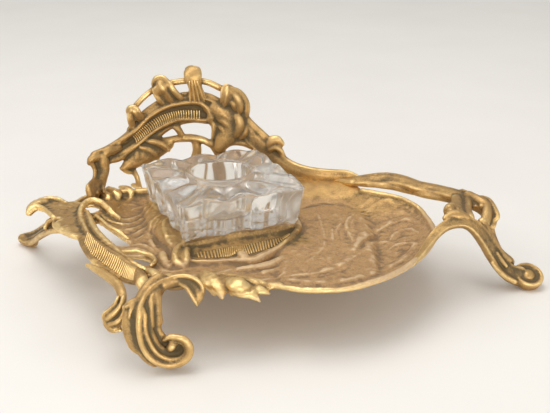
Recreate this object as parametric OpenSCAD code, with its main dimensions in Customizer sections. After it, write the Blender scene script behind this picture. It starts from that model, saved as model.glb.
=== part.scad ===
// Desk inkstand: a cast-brass scroll-work stand with a pen dish, a pierced back gallery,
// a side rail and three scroll feet, and a pressed-glass inkwell that stands loose on its seat.
// Origin: on the desk, under the middle of the stand. X runs along the stand, Y to its back, Z up.

/* [Glass inkwell] */
// Side of the square block at its widest line
glass_side = 60; // [54:1:62]
// How much the block narrows on each side from the widest line down to its base
glass_draft = 3; // [1:0.5:5]
// Height of the widest line above the base
girdle_h = 18; // [14:0.5:22]
// Height of the sloping shoulder above the widest line
shoulder_h = 2; // [1:0.5:5]
// How far the shoulder slopes inwards on each side
shoulder_in = 9; // [4:0.5:10]
// Radius of the round ink well
well_r = 13.5; // [12:0.5:17]
// Glass left under the ink well
well_floor = 4; // [2:0.5:8]
// Width of the raised ring round the well's mouth
ring_w = 2; // [1:0.5:3]
// Height of the raised ring above the shoulder
ring_h = 1; // [0.5:0.25:2]
// Depth of the thumb cuts in each side
cut_depth = 1.2; // [0.5:0.1:2]
// Turn of the block on its seat, in degrees
glass_turn = 23; // [10:1:30]

/* [Tray] */
// Height of the seat above the desk
seat_z = 28; // [25:0.5:34]
// Drop from the seat to the tray floor
floor_drop = 3; // [2:0.5:5]
// Further drop from the tray floor to the bottom of the pen dish
dish_drop = 3.5; // [1:0.5:5]
// Rise of the rim above the seat
rim_rise = 1.5; // [0.5:0.5:3]
// Thickness of the cast sheet
sheet_t = 2.5; // [2:0.25:3.5]
// Radius of the bead along the rim of the dish
bead_r = 1.5; // [1.25:0.25:2]
// Width of the seat left bare round the glass base
seat_margin = 0.5; // [0.5:0.5:3]
// How far the seat's hollow front reaches out before the glass
seat_reach = 20; // [14:1:23]
// Height of that front's lip above the tray floor
lip_h = 1.5; // [1:0.25:2.5]

/* [Gallery, rail and feet] */
// Height of the gallery above the seat
crest_h = 60; // [50:1:75]
// Clear space between the glass and the gallery behind it
crest_gap = 3.75; // [0.5:0.25:5]
// Height of the side rail's crown above the rim
rail_h = 6.5; // [5:0.5:9]

/* [Hidden] */
$fn = 32;

brass = "darkgoldenrod";
floor_z = seat_z - floor_drop;
rim_z = seat_z + rim_rise;
glass_pos = [-22, 23.5];                // middle of the seat
dish_pos = [24, -4];                    // middle of the pen dish
dish_size = [47, 48];                   // half its length and half its width
tray_pos = [-10, 3];                    // the point the tray sheet is drawn out from
half_diagonal = glass_side / sqrt(2);
arm_t = 3;                              // half thickness of the gallery's arm
root_h = 4;                             // height of the gallery's roots above the seat
crest_y = glass_pos.y + half_diagonal * sin(45 + glass_turn) + crest_gap + arm_t;
drawn_seat_z = 28;                      // seat height that the legs' points below are drawn for
drawn_crest_h = 60;                     // gallery height that its points below are drawn for
drawn_rail_h = 6.5;                     // rail height that its points below are drawn for
sole_h = 8;                             // height of the part of a foot that stays as drawn
desk_w = 400;                           // side of the block of desk that wears the soles flat
worn_depth = 20;                        // thickness of that block
step = 3;                               // stations between two points of a scroll
sides = 8;                              // sides of a scroll's section

// ---------- curves ----------

function xyz(p) = [p.x, p.y, p.z];
function unit(v) = v / norm(v);
function clamp(v) = max(0, min(1, v));
function smooth(v) = let (t = clamp(v)) t * t * (3 - 2 * t);
function blend(a, b, c, d, t) =
    0.5 * (2 * b + (c - a) * t + (2 * a - 5 * b + 4 * c - d) * t * t
        + (3 * b - a - 3 * c + d) * t * t * t);
function past(p, i) =
    i < 0 ? 2 * p[0] - p[1] : i >= len(p) ? 2 * p[len(p) - 1] - p[len(p) - 2] : p[i];
function curve(p, n) = concat(
    [for (i = [0 : len(p) - 2], k = [0 : n - 1])
        blend(past(p, i - 1), p[i], p[i + 1], past(p, i + 2), k / n)],
    [p[len(p) - 1]]);
function ring_curve(p, n) = let (m = len(p))
    [for (i = [0 : m - 1], k = [0 : n - 1])
        blend(p[(i + m - 1) % m], p[i], p[(i + 1) % m], p[(i + 2) % m], k / n)];

// Two triangles between stations i and i + 1 of a tube, at side k of its section.
function tube_faces(i, k, n) = let (a = i * n + k, b = i * n + (k + 1) % n)
    [[a, b, b + n], [a, b + n, a + n]];

// A scroll swept along points [x, y, z, half width, half thickness].
// The thickness lies along the direction `face`, and the width lies across it.
module scroll(path, face) {
    pts = curve(path, step);
    last = len(pts) - 1;
    rings = [for (i = [0 : last])
        let (
            along = unit(xyz(pts[min(i + 1, last)]) - xyz(pts[max(i - 1, 0)])),
            wide = unit(cross(along, face)),
            thick = cross(wide, along)
        )
        [for (k = [0 : sides - 1]) let (a = 360 * k / sides)
            xyz(pts[i]) + wide * pts[i][3] * cos(a) + thick * pts[i][4] * sin(a)]];
    polyhedron(
        points = [for (r = rings) each r],
        faces = concat(
            [[for (k = [sides - 1 : -1 : 0]) k]],
            [[for (k = [0 : sides - 1]) last * sides + k]],
            [for (i = [0 : last - 1], k = [0 : sides - 1]) each tube_faces(i, k, sides)]));
}

// A knob, drop or leaf: rounded lumps [x, y, z, radius] joined one to the next.
module lumps(list) {
    for (i = [0 : len(list) - 2])
        hull() {
            translate(xyz(list[i])) sphere(list[i][3], $fn = 10);
            translate(xyz(list[i + 1])) sphere(list[i + 1][3], $fn = 10);
        }
}

up = [0, 0, 1];
front = [0, -1, 0];

// ---------- tray ----------

// Outline of the tray sheet, anticlockwise from its left tip: [x, y, height above the rim].
outline = [
    [-97, 22, 0], [-97.5, 8.5, 0], [-93.5, 0.5, 0], [-86, -6.5, 0], [-77, -11.5, 0],
    [-73, -21, 0], [-72.5, -31, 0], [-65, -38, 0], [-57, -44, 0], [-50, -49, 0],
    [-41, -49.5, 0], [-32, -48.5, 0], [-24, -50, -0.5], [-14, -54, -1.5], [-4, -56.5, -1.5],
    [3, -53, -0.5], [12.5, -56.5, -0.5], [22, -57, -0.5], [32, -55.5, -0.5], [44, -49.5, 0],
    [53.5, -41, 0], [62.5, -29.5, 0], [69, -18.5, 0.5], [73.5, -6, 0.5], [74, 6, 0],
    [73, 15, 0], [70, 25, 0], [62, 33.5, 0], [51.5, 38, 0], [46, 48, 1],
    [41, 58, 1.5], [33, 63.5, 1.5], [23, 60, 0.5], [8, crest_y - 4, 0], [-8, crest_y - 0.5, -1],
    [-25, crest_y, -1], [-44, crest_y - 4, -1], [-56, 52, -0.5], [-68, 48, 0], [-80, 46, 0],
    [-88.5, 40, 0], [-92, 31, 0]];

// Height of the tray floor: flat, lifted at the left plate and hollowed at the dish.
function floor_at(x, y) =
    let (d = pow((x - dish_pos.x) / dish_size.x, 2) + pow((y - dish_pos.y) / dish_size.y, 2))
    floor_z + (rim_z - floor_z) * smooth((-58 - x) / 22) - dish_drop * max(0, 1 - d);

// A point of the sheet's top, at the share s of the way from tray_pos to the outline.
function sheet_point(p, s) =
    let (x = tray_pos.x + (p.x - tray_pos.x) * s, y = tray_pos.y + (p.y - tray_pos.y) * s)
    [x, y, floor_at(x, y) + (rim_z + p.z - floor_at(p.x, p.y)) * pow(s, 8)];

module sheet() {
    edge = ring_curve(outline, 2);
    n = len(edge);
    shares = [0.25, 0.45, 0.62, 0.76, 0.86, 0.93, 1];
    m = len(shares);
    top = concat([for (s = shares, p = edge) sheet_point(p, s)],
        [[tray_pos.x, tray_pos.y, floor_at(tray_pos.x, tray_pos.y)]]);
    under = [for (p = top) p - [0, 0, sheet_t]];
    low = n * m + 1;
    polyhedron(
        points = concat(top, under),
        faces = concat(
            [for (k = [0 : n - 1]) [n * m, (k + 1) % n, k]],
            [for (k = [0 : n - 1]) [low + n * m, low + k, low + (k + 1) % n]],
            [for (i = [0 : m - 2], k = [0 : n - 1], f = tube_faces(i, k, n)) f],
            [for (i = [0 : m - 2], k = [0 : n - 1], f = tube_faces(i, k, n))
                [low + f[2], low + f[1], low + f[0]]],
            [for (k = [0 : n - 1]) let (a = n * (m - 1) + k, b = n * (m - 1) + (k + 1) % n)
                each [[a, b, low + b], [a, low + b, low + a]]]));
}

// A place in the glass's own axes, as x and y on the tray.
function by_glass(u, v) = [glass_pos.x + u * cos(glass_turn) - v * sin(glass_turn),
    glass_pos.y + u * sin(glass_turn) + v * cos(glass_turn)];

// Lip of the seat's hollow front: [share of the seat's half width, share of seat_reach].
front_lip = [[-1.08, 0.5], [-0.8, 0.8], [-0.45, 0.95], [-0.05, 1], [0.35, 0.8], [0.65, 0.52],
    [0.98, 0.1]];
lip_w = 2.2;                            // width of that lip
hollow_floor = 0.3;                     // height of the hollow's floor above the tray floor
half_seat = glass_side / 2 - glass_draft + seat_margin;

// Plan of the hollow front, anticlockwise, ending `inset` before the lip and its two ends.
function front_plan(inset) = let (back = 1 - half_seat, half = half_seat - inset)
    concat(
        [for (p = front_lip)
            by_glass(p[0] * half, -half_seat - max(1, p[1] * seat_reach - inset))],
        [by_glass(last_of(front_lip)[0] * half, back), by_glass(front_lip[0][0] * half, back)]);
function last_of(list) = list[len(list) - 1];
function middle_of(plan) = [for (c = [0, 1]) sum([for (p = plan) p[c]]) / len(plan)];
function sum(list, i = 0) = i < len(list) ? list[i] + sum(list, i + 1) : 0;

// A block over a plan, flat at the height `high`. It stands on a flat floor at `low`, or goes
// down into the tray's sheet where `low` is left out.
module block(plan, high, low = undef) {
    n = len(plan);
    ring = concat(plan, [middle_of(plan)]);
    polyhedron(
        points = concat(
            [for (p = ring) [p.x, p.y, high]],
            [for (p = ring) [p.x, p.y, is_undef(low) ? floor_at(p.x, p.y) - sheet_t / 2 : low]]),
        faces = concat(
            [for (k = [0 : n - 1]) [n, (k + 1) % n, k]],
            [for (k = [0 : n - 1]) let (a = n + 1) [a + n, a + k, a + (k + 1) % n]],
            [for (k = [0 : n - 1]) let (a = n + 1, m = (k + 1) % n)
                each [[k, m, a + m], [k, a + m, a + k]]]));
}

// The glass stands on a square block, and its front runs out into a hollow with a raised lip.
module seat() {
    difference() {
        block(front_plan(0), floor_z + lip_h);
        block(front_plan(lip_w), seat_z + rim_rise, floor_z + hollow_floor);
    }
    block([for (c = [[-1, -1], [1, -1], [1, 1], [-1, 1]]) by_glass(c.x * half_seat, c.y * half_seat)],
        seat_z);
}

// Folds of the shell round the seat's corner, the collar at its left end and the curl on its
// lip: [x, y, height above the tray floor, half width, half thickness].
outer_fold = [[12.5, 12.9, -1.9, 2.6, 2.2], [14.3, 0.9, -2.1, 3, 2.2], [11.1, -11.5, -2.1, 3, 2.2],
    [6.9, -18.4, -2, 2.8, 2], [-0.4, -25.1, -1.8, 2.4, 1.8], [-6, -27.9, -1.5, 1.8, 1.6]];
low_fold = [[14.6, 29.2, -2.6, 1.6, 1.4], [19.4, 10.8, -3, 2.2, 1.6], [20.6, -4.1, -3, 2.4, 1.6],
    [19.4, -12.2, -3, 2.4, 1.6], [15.9, -18.1, -2.8, 2.2, 1.6], [8.4, -25.6, -2.5, 1.8, 1.4],
    [-1.9, -32.9, -1.9, 1.4, 1.2]];
collar = [[-39, -9, 0.8, 2.6, 1.8], [-37.5, -15, 1.3, 2.8, 1.8], [-35.5, -23, 1, 2.6, 1.8],
    [-34.3, -28.4, -0.5, 1.8, 1.6]];
lip_curl = [[-10.5, -21.5, 0, 2], [-11.5, -18, 1.2, 1.5]];
function above_floor(p) = [for (q = p) [q.x, q.y, floor_z + q.z, q[3], q[4]]];

module shell_work() {
    for (path = [outer_fold, low_fold, collar]) scroll(above_floor(path), up);
    lumps([for (q = lip_curl) [q.x, q.y, floor_z + q.z, q[3]]]);
}

// Bead along the free edge of the dish, from the gallery's tab round to the front border.
bead_in = 0.995;                        // its place, as a share of the way to the outline
function p_xy(p) = [p.x, p.y];
module dish_bead() {
    free = [for (i = [15 : 29]) outline[i]];
    scroll([for (p = free) let (q = tray_pos + (p_xy(p) - tray_pos) * bead_in)
        [q.x, q.y, rim_z + p.z - bead_r / 2, bead_r, bead_r]], up);
}

// Scrolls of the left plate; heights are above the rim.
hole_arch = [[-85, 16, 0.5, 2, 2], [-87, 20.5, 1.5, 2, 2], [-85.5, 24.5, 2.5, 2, 2],
    [-82, 27, 3, 2, 2], [-77.5, 24.5, 2.5, 2, 2], [-72, 19.5, 0.5, 1.5, 1.5],
    [-66.5, 13.5, -1, 1.2, 1.2]];
left_band = [[-82.5, 16, 0.5, 3, 2.4], [-80.5, 4, 0.5, 3, 2.4], [-75, -10.5, 0.5, 3.5, 2.4],
    [-68, -22.5, 0.5, 4, 2.4], [-61, -33.5, 0.5, 4.5, 2.4], [-55, -41, 0.5, 4, 2.4],
    [-49.5, -47.5, 0.5, 4, 2.5]];
tube_ridge = [[-79, 7.5, 1.5, 1.5, 1.5], [-75.5, -5, 1.5, 1.5, 1.5], [-70, -17, 1.5, 1.5, 1.5],
    [-63.5, -26, 1.5, 1.5, 1.5], [-57, -30, 0.5, 1.5, 1.5], [-51.5, -31.5, -1.5, 1.5, 1.5],
    [-46.5, -36, -3.5, 1.5, 1.5]];
inner_ridge = [[-78, 13.5, 0.5, 1.5, 1.5], [-73, 2, 0.5, 1.5, 1.5], [-66.5, -7, -0.5, 1.5, 1.5],
    [-60, -12, -3, 1.2, 1.2]];
tip_curl = [[-110, 30.5, -2.5, 1.5, 1.5], [-108, 29.5, 0.5, 2.5, 2], [-104.5, 29, 1.5, 3, 2],
    [-98.5, 24, 1, 3.5, 1.6], [-93, 25, 0.5, 3, 1.6], [-88.5, 33, 0, 3, 1.6]];

function above_rim(p) = [for (q = p) [q.x, q.y, rim_z + q.z, q[3], q[4]]];
function lumps_above_rim(p) = [for (q = p) [q.x, q.y, rim_z + q.z, q[3]]];

// Gadroon drops and the boss of the front border; heights are above the rim.
drops = [
    [[-26, -46.5, -1.5, 2], [-21.5, -49.5, -1, 2.8], [-18.8, -54, -3, 2.4], [-19.4, -56.8, -6, 1.2]],
    [[-19, -47.5, -2, 1.8], [-15, -53, -2.5, 2], [-11, -57, -4, 2], [-6, -59.5, -5.4, 1.6]],
    [[-9, -56.5, -3.6, 2], [-3, -57.5, -3.4, 1.8], [0, -54.5, -2.8, 1.6]],
    [[-16.5, -48, -1.6, 1.8], [-13, -50, -1.2, 2.7], [-9, -52, -1.4, 2.7], [-5.5, -53.6, -2, 1.8]]];

// Pierced openings of the left plate.
module piercings() {
    depth = 3 * sheet_t + rim_rise + floor_drop;
    translate([0, 0, floor_z - 2 * sheet_t]) {
        translate([-81.5, 20.5, 0]) linear_extrude(2 * depth) polygon(
            [for (a = [0 : 30 : 330]) [4.5 * cos(a), 2.2 * sin(a)]]);
        linear_extrude(2 * depth) polygon([[-75.5, 7], [-72.5, -2], [-66.5, -10], [-61.5, -14.5],
            [-66.5, -14.5], [-71, -8.5], [-74.5, -0.5]]);
        translate([-54, -34.5, 0]) rotate(-28) linear_extrude(2 * depth) polygon(
            [for (a = [0 : 30 : 330]) [5.5 * cos(a), 1.6 * sin(a)]]);
    }
}

module tray_body() {
    difference() {
        union() {
            sheet();
            scroll(above_rim(left_band), up);
        }
        piercings();
    }
    seat();
    shell_work();
    dish_bead();
    for (path = [hole_arch, tube_ridge, inner_ridge, tip_curl]) scroll(above_rim(path), up);
    for (list = drops) lumps(lumps_above_rim(list));
}

module tray() {
    color(brass) union() tray_body();
}

// ---------- gallery behind the glass ----------

// The gallery bends forward towards its left end.
function bow(x) = 0.0122 * pow(max(0, -46 - x), 2);
// The roots stay at their drawn heights; what stands higher follows the gallery's height.
function crest_z(z) = seat_z
    + z * (1 + (crest_h / drawn_crest_h - 1) * clamp((z - root_h) / (2.5 * root_h)));
// Points are [x, distance in front (-) of the gallery's face, height above the seat, half
// width, half thickness], or [x, distance, height, radius] for lumps.
function crest_at(p) =
    [for (q = p) [q.x, crest_y - bow(q.x) + q.y, crest_z(q.z), q[3], q[4]]];
function crest_lumps(p) =
    [for (q = p) [q.x, crest_y - bow(q.x) + q.y, crest_z(q.z), q[3]]];

main_band = [[-85, 0, 17, 3, 2.6], [-78, 0, 18.5, 3.8, 2.6], [-70, 0, 21.5, 4.2, 2.6],
    [-62.5, 0, 26.5, 4.9, 2.6], [-55, 0, 31, 5.2, 2.6], [-47, 0, 35, 5.4, 2.6],
    [-38.5, 0, 36.5, 5.4, 2.6], [-31.5, 0, 35.5, 5.2, 2.6], [-26, 0, 32.5, 4.4, 2.8],
    [-23.5, 0, 28.5, 3, 2.8]];
outer_rim = [[-67.5, 0, 24, 2.2, 2.2], [-63.5, 0, 30, 2, 2.2], [-58, 0, 35.5, 2, 2.2],
    [-51, 0, 40, 2, 2.2], [-42.5, 0, 42, 2, 2.2], [-34, 0, 41.5, 2, 2.2],
    [-27.5, 0, 39.5, 2.2, 2.4], [-21.5, 0, 36, 2.6, 2.6], [-16.5, 0, 31, 2.6, 2.6],
    [-15.5, 0, 24.5, 2.4, 2.6], [-17, 0, 19, 2, 2.4]];
inner_loop = [[-66.5, 0, 17.5, 1.6, 1.8], [-59.5, 0, 22, 1.6, 1.8], [-53, 0, 26, 1.6, 1.8],
    [-46, 0, 29.5, 1.6, 1.8], [-38.5, 0, 31, 1.6, 1.8], [-31.5, 0, 30.5, 1.6, 1.8],
    [-26.5, 0, 27, 1.6, 1.8], [-24.5, 0, 22.5, 1.6, 1.8], [-27, 0, 19.5, 1.7, 1.8],
    [-31, 0, 18.5, 1.8, 1.8], [-37.5, 0, 20, 1.8, 1.8], [-45, 0, 21, 1.8, 1.8],
    [-52, 0, 20.5, 1.8, 1.8], [-58, 0, 19.5, 1.8, 1.8]];
ring_rail = [[-66, -1, 39, 1.2, 1.2], [-62.5, 0, 42.5, 1.2, 1.2], [-57.5, 0, 46.5, 1.2, 1.2],
    [-52, 0, 49, 1.2, 1.2], [-46, 0, 50.5, 1.2, 1.2], [-38, 0, 51.5, 1.2, 1.2],
    [-30.5, 0, 50.5, 1.2, 1.2], [-24, 0, 47.5, 1.4, 1.4], [-17.5, 0, 44, 1.6, 1.6],
    [-13, 0, 40, 1.6, 1.6], [-11.5, 0, 36, 1.5, 1.5], [-13, 0, 32, 1.4, 1.4]];
right_arm = [[-14, 0, 33, 2.6, 2.6], [-11.5, 0, 27.5, 3.8, arm_t], [-8.5, 0, 22, 5, arm_t],
    [-3.5, 0, 16.5, 4.6, arm_t], [2, -1, 12, 4.2, arm_t], [8.5, -3, 7.5, 3.8, arm_t],
    [15.5, -5.5, 4.5, 3.8, arm_t], [24, -7.5, 3.5, 4, arm_t], [33, -8.5, 3.5, 3.6, arm_t]];
left_strut = [[-85, 0, 16, 4.4, 3.4], [-84, 0, 12, 4.2, 3.2], [-84, -2, 8, 4, 3],
    [-85.5, -7, 4.8, 4.2, 3], [-88, -15, 3.2, 4.6, 2.2]];
relief = [[-27, 0, 37.5, 3.4, 2.2], [-22.5, 0, 32.5, 6, 2.4], [-20.5, 0, 26, 6.5, 2.4],
    [-20, 0, 20, 5, 2.2], [-21, 0, 17.5, 3, 2]];
stems = [
    [[-37, 0, 20, 2.2, 2.2], [-36.5, 0, 14, 2.4, 2.4], [-39, -1, 7, 2.6, 2.4], [-42, -2.5, -1, 3, 2.4]],
    [[-29, 0, 19, 2.2, 2.2], [-25.5, 0, 14.5, 3, 2.6], [-22, -0.5, 8, 3.2, 2.6], [-22, -2, -1, 3.4, 2.6]],
    [[-67, 0, 10, 2.2, 2.2], [-66.5, -4, 6.5, 1.8, 1.8], [-65.5, -11, 4, 1.7, 1.7],
        [-64.5, -18.5, 1.5, 1.8, 1.6]]];

// Leaf fingers curling over the ring rail, knobs and leaves.
fingers = [
    [[-37.5, -3, 55.5, 3.4], [-37, -4, 52.5, 4], [-36.5, -4, 47, 3.2], [-36, -2, 42.5, 3]],
    [[-52.5, -3, 52, 3.4], [-52.5, -4, 48.5, 3.8], [-50, -3, 44, 3], [-45.5, -2, 41, 2]],
    [[-66.5, -2, 38.5, 3], [-67, -2, 35, 2.8], [-67, -1.5, 30, 2.2], [-66, 0, 24.5, 2]],
    [[-20, -3, 46.5, 3.2], [-21, -4, 43.5, 3.2], [-22.5, -3, 40.5, 2.8], [-26.5, 0, 37.5, 2]],
    [[-15, -2, 42.5, 2.2], [-15.5, -3, 39, 2.4], [-17.5, -1, 34.5, 2]]];
leaves = [
    [[-86, 0, 17, 3.4], [-82, 0, 14, 3]],
    [[-1.5, 0, 17, 2.8], [2, -1, 18.5, 2.6], [5, -1, 18, 2]],
    [[-58, 0, 19.5, 2.2], [-58.5, -2, 15.5, 3], [-64, -2, 12.5, 3.2], [-69, -3, 11, 2.4], [-72.5, -3, 10, 1]],
    [[-49, 0, 27, 1], [-46.5, 0, 26, 1.8], [-45, 0, 22, 1.8]],
    [[-13, 0, 27, 2.8], [-13.5, 0, 21, 2.4], [-16, 0, 18.5, 2]]];

module crest_body() {
    for (path = [main_band, outer_rim, inner_loop, ring_rail, right_arm, left_strut, relief])
        scroll(crest_at(path), front);
    for (path = stems) scroll(crest_at(path), front);
    for (list = concat(fingers, leaves)) lumps(crest_lumps(list));
}

module crest() {
    color(brass) difference() {
        union() crest_body();
        tray_body();
    }
}

// ---------- legs and side rail ----------

// Points drawn for one seat height: what stands on the desk stays, and the rest moves up.
function leg_z(z) =
    z + (seat_z - drawn_seat_z) * clamp((z - sole_h) / (drawn_seat_z - sole_h));
function leg_at(p) = [for (q = p) [q.x, q.y, leg_z(q.z), q[3], q[4]]];
function leg_lumps(p) = [for (q = p) [q.x, q.y, leg_z(q.z), q[3]]];
function rail_at(p) = [for (q = p) [q.x, q.y, rim_z + q.z * rail_h / drawn_rail_h, q[3], q[4]]];

// Everything under the desk's surface is worn away, which leaves a flat sole.
module above_desk() {
    difference() {
        children();
        translate([-desk_w / 2, -desk_w / 2, -worn_depth]) cube([desk_w, desk_w, worn_depth]);
    }
}

right_leg = [[66, -27.5, 27.2, 1.5, 1.3], [71.5, -16.5, 29, 2.2, 1.8], [76.5, -8.5, 32.3, 3, 2.6],
    [82.5, -5.5, 34.5, 3, 3], [88.5, -5.5, 33, 3.2, 3.2], [94, -3.5, 27.5, 3.4, 3.4],
    [99.5, -1, 19.5, 3.6, 3.6], [106, 1.5, 11, 4, 4], [112, 2.5, 6, 4.6, 4.6], [119, 2.5, 5, 4.8, 5]];
leg_web = [[98, 4, 30.5, 2.4, 2.2], [100, 3.5, 24, 2.4, 2.4], [104.5, 5, 15, 2.6, 2.6],
    [110.5, 6, 10, 2.6, 2.6]];
right_pad = [[110.5, 2.5, 5.4, 4.6], [114, 2.6, 4, 4.8], [117.5, 3, 4, 4.8]];
leg_gusset = [[94, -1, 28, 3], [97, 2, 28, 2.6], [98.5, 3.5, 30, 2.6]];
leg_hollow = [[101, 1, 18, 3], [104, 4, 14, 3], [110, 4.5, 9, 3.4], [114, 5.5, 6.5, 4]];
cup_at = [117.9, 1.8, 5.6];             // middle of the right foot's cup
cup_turn = [36, 13, 0];
cup_r = 7.2;
cup_h = 6;
left_leg = [[-90, 11, 25.8, 2.4, 2], [-97.5, 15.5, 24, 3, 2.2], [-105.5, 26.5, 17.5, 3.4, 2.4],
    [-114, 39.5, 8.5, 3.2, 2.8], [-120, 47, 4, 3, 3], [-123.5, 49, 3.6, 2.8, 3]];
left_pad = [[-117, 43.5, 4, 3.2], [-120.5, 47.5, 3, 4], [-123, 49, 3, 4]];
front_leg = [[-26.5, -60.2, 23.6, 1.2, 1.2], [-25.2, -58.6, 27, 2.2, 1.8], [-27, -56, 30, 3, 2.4],
    [-31.5, -55.2, 31.2, 3.6, 2.6], [-37, -56, 31, 4.2, 2.8], [-42, -59.5, 29.5, 5, 3],
    [-45.5, -64, 25.5, 5.6, 3.2], [-47, -67, 20.5, 6, 3.4], [-47, -69, 15, 6, 3.6],
    [-44.5, -70, 9.5, 6, 4], [-40, -69.5, 6, 5.6, 4.4], [-35.5, -68.5, 5.6, 5, 4.2],
    [-32, -67.5, 8, 3.4, 3.6], [-33, -67, 11, 2.6, 3], [-35.5, -67, 11.5, 2.2, 2.6]];
front_pad = [[-41, -69, 4, 5], [-37, -68.5, 4, 5], [-34, -68, 4.6, 4.6]];
side_strut = [[-73, -36, 29, 1, 1], [-68.5, -39.5, 28.5, 2, 1.6], [-63, -45, 28, 2.3, 1.8],
    [-58.5, -50.5, 27.5, 2.4, 1.8], [-56, -56, 26, 2.4, 1.8], [-56.5, -59.5, 23, 2.6, 2],
    [-58.5, -61, 19, 3.2, 2.4], [-61, -62, 16.5, 2.8, 2.4]];
strut_roll = [[-55, -62, 21, 2], [-57, -62.5, 18, 2.2], [-60, -62.5, 15.5, 1.8]];
strut_root = [[-61, -45.5, 27.5, 1.8], [-59, -43.5, 27, 2]];
strut_foot = [[-57, -60.5, 21, 2], [-51, -65, 20, 2]];

// The right foot ends in a small cup with a boss in it.
module cup() {
    translate(cup_at) rotate(cup_turn) {
        difference() {
            translate([0, 0, -cup_h * 0.6]) cylinder(h = cup_h, r1 = cup_r * 0.8, r2 = cup_r);
            translate([0, 0, 0.4]) cylinder(h = cup_h, r1 = cup_r * 0.45, r2 = cup_r);
        }
        cylinder(h = cup_h * 0.25, r1 = cup_r * 0.35, r2 = cup_r * 0.2);
    }
}

module right_foot_body() {
    above_desk() {
        cup();
        scroll(leg_at(right_leg), front);
        scroll(leg_at(leg_web), front);
        for (list = [right_pad, leg_gusset, leg_hollow]) lumps(leg_lumps(list));
    }
}

module right_foot() {
    color(brass) difference() {
        union() right_foot_body();
        tray_body();
    }
}

module left_foot() {
    color(brass) difference() {
        union() above_desk() {
            scroll(leg_at(left_leg), front);
            lumps(leg_lumps([for (q = left_leg) [q.x, q.y, q.z, q[4] + 0.2]]));
            lumps(leg_lumps(left_pad));
            lumps(leg_lumps([[-89, 10.5, 25.6, 2.4], [-94, 13, 25.2, 2.6], [-99.5, 18.5, 23, 2.8]]));
        }
        tray_body();
    }
}

module front_foot() {
    color(brass) difference() {
        union() above_desk() {
            scroll(leg_at(front_leg), front);
            scroll(leg_at(side_strut), up);
            lumps(leg_lumps(front_pad));
            lumps(leg_lumps([[-32, -50, 27.5, 2.4], [-34, -54.5, 29, 3], [-37, -55.5, 30, 3.4]]));
            for (list = [strut_roll, strut_root, strut_foot]) lumps(leg_lumps(list));
            lumps(leg_lumps([[-36.5, -68, 8.5, 3.6], [-35.5, -70.5, 8.5, 2]]));
        }
        tray_body();
    }
}

// The rail runs from the gallery's tab to the right foot; heights are above the rim.
rail_path = [[33, 60.5, 2, 2.6, 2.2], [43, 52.5, 3.5, 3, 2.5], [50.5, 49, 5, 3.6, 2.9],
    [58.5, 48.5, 6, 4, 3.2], [65.5, 43, 6, 3.8, 3], [72, 35.5, 6, 3.4, 2.8],
    [79.5, 31, 6.5, 3.6, 2.8], [86, 24.5, 6.5, 4, 3], [91.5, 19, 6.5, 4.2, 3],
    [96.5, 14, 5.5, 4, 2.8], [99, 8.5, 3.5, 3.4, 2.6], [98.5, 3, 1.5, 2.8, 2.4]];
rail_lumps = [
    [[88, 17, 6.5, 2.4], [84, 11, 5.5, 3], [81, 6, 5, 3]],
    [[90, 16, 5.5, 2.6], [88, 8, 4.6, 2.6], [86, 0, 4.2, 2.6]],
    [[92, 12, 5, 2.4], [90.5, 5, 4, 2.4], [89, -2, 3, 2.4]],
    [[96, 18, 5.5, 2.6], [99.5, 12.5, 4.5, 2.6], [101.5, 7, 2.5, 2.4], [99.5, 3, 1, 2.4]],
    [[34.5, 60, 0.5, 2.2], [38, 56.5, 1, 2.4], [42, 53, 2, 2.6]]];

module side_rail() {
    color(brass) difference() {
        union() {
            scroll(rail_at(rail_path), up);
            for (list = rail_lumps)
                lumps([for (q = list) [q.x, q.y, rim_z + q.z * rail_h / drawn_rail_h, q[3]]]);
        }
        tray_body();
        crest_body();
        right_foot_body();
    }
}

// ---------- glass inkwell ----------

module inkwell() {
    base = glass_side - 2 * glass_draft;
    top = glass_side - 2 * shoulder_in;
    slab = 0.5;
    height = girdle_h + shoulder_h;
    cut_r = 18;
    lean = atan(glass_draft / girdle_h);
    color("azure", 0.5)
        translate([glass_pos.x, glass_pos.y, seat_z])
            rotate(glass_turn)
                difference() {
                    union() {
                        hull() {
                            translate([-base / 2, -base / 2, 0]) cube([base, base, slab]);
                            translate([-glass_side / 2, -glass_side / 2, girdle_h - slab])
                                cube([glass_side, glass_side, slab]);
                        }
                        hull() {
                            translate([-glass_side / 2, -glass_side / 2, girdle_h - slab])
                                cube([glass_side, glass_side, slab]);
                            translate([-top / 2, -top / 2, height - slab])
                                cube([top, top, slab]);
                        }
                        cylinder(h = height + ring_h, r = well_r + ring_w);
                    }
                    translate([0, 0, well_floor]) cylinder(h = height + ring_h, r = well_r);
                    for (side = [0 : 3], third = [-1 : 1])
                        rotate(90 * side)
                            translate([third * glass_side / 3.4, -base / 2 - cut_r + cut_depth, 0])
                                rotate([lean, 0, 0])
                                    translate([0, 0, -slab * 2])
                                        cylinder(h = 2 * height, r = cut_r);
                }
}

tray();
crest();
side_rail();
right_foot();
left_foot();
front_foot();
inkwell();
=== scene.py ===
# %% [markdown]
# # A rococo desk inkstand
# The stand is cast brass: a tray with a round pen dish, a pierced gallery behind the glass, a
# side rail and three scroll feet. A thick pressed-glass inkwell stands loose on its seat.
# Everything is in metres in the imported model's own frame, so a piece goes where the CAD node is.

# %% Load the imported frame
import math

import bmesh
import bpy
import numpy as np
from mathutils import Matrix, Vector, noise


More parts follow.
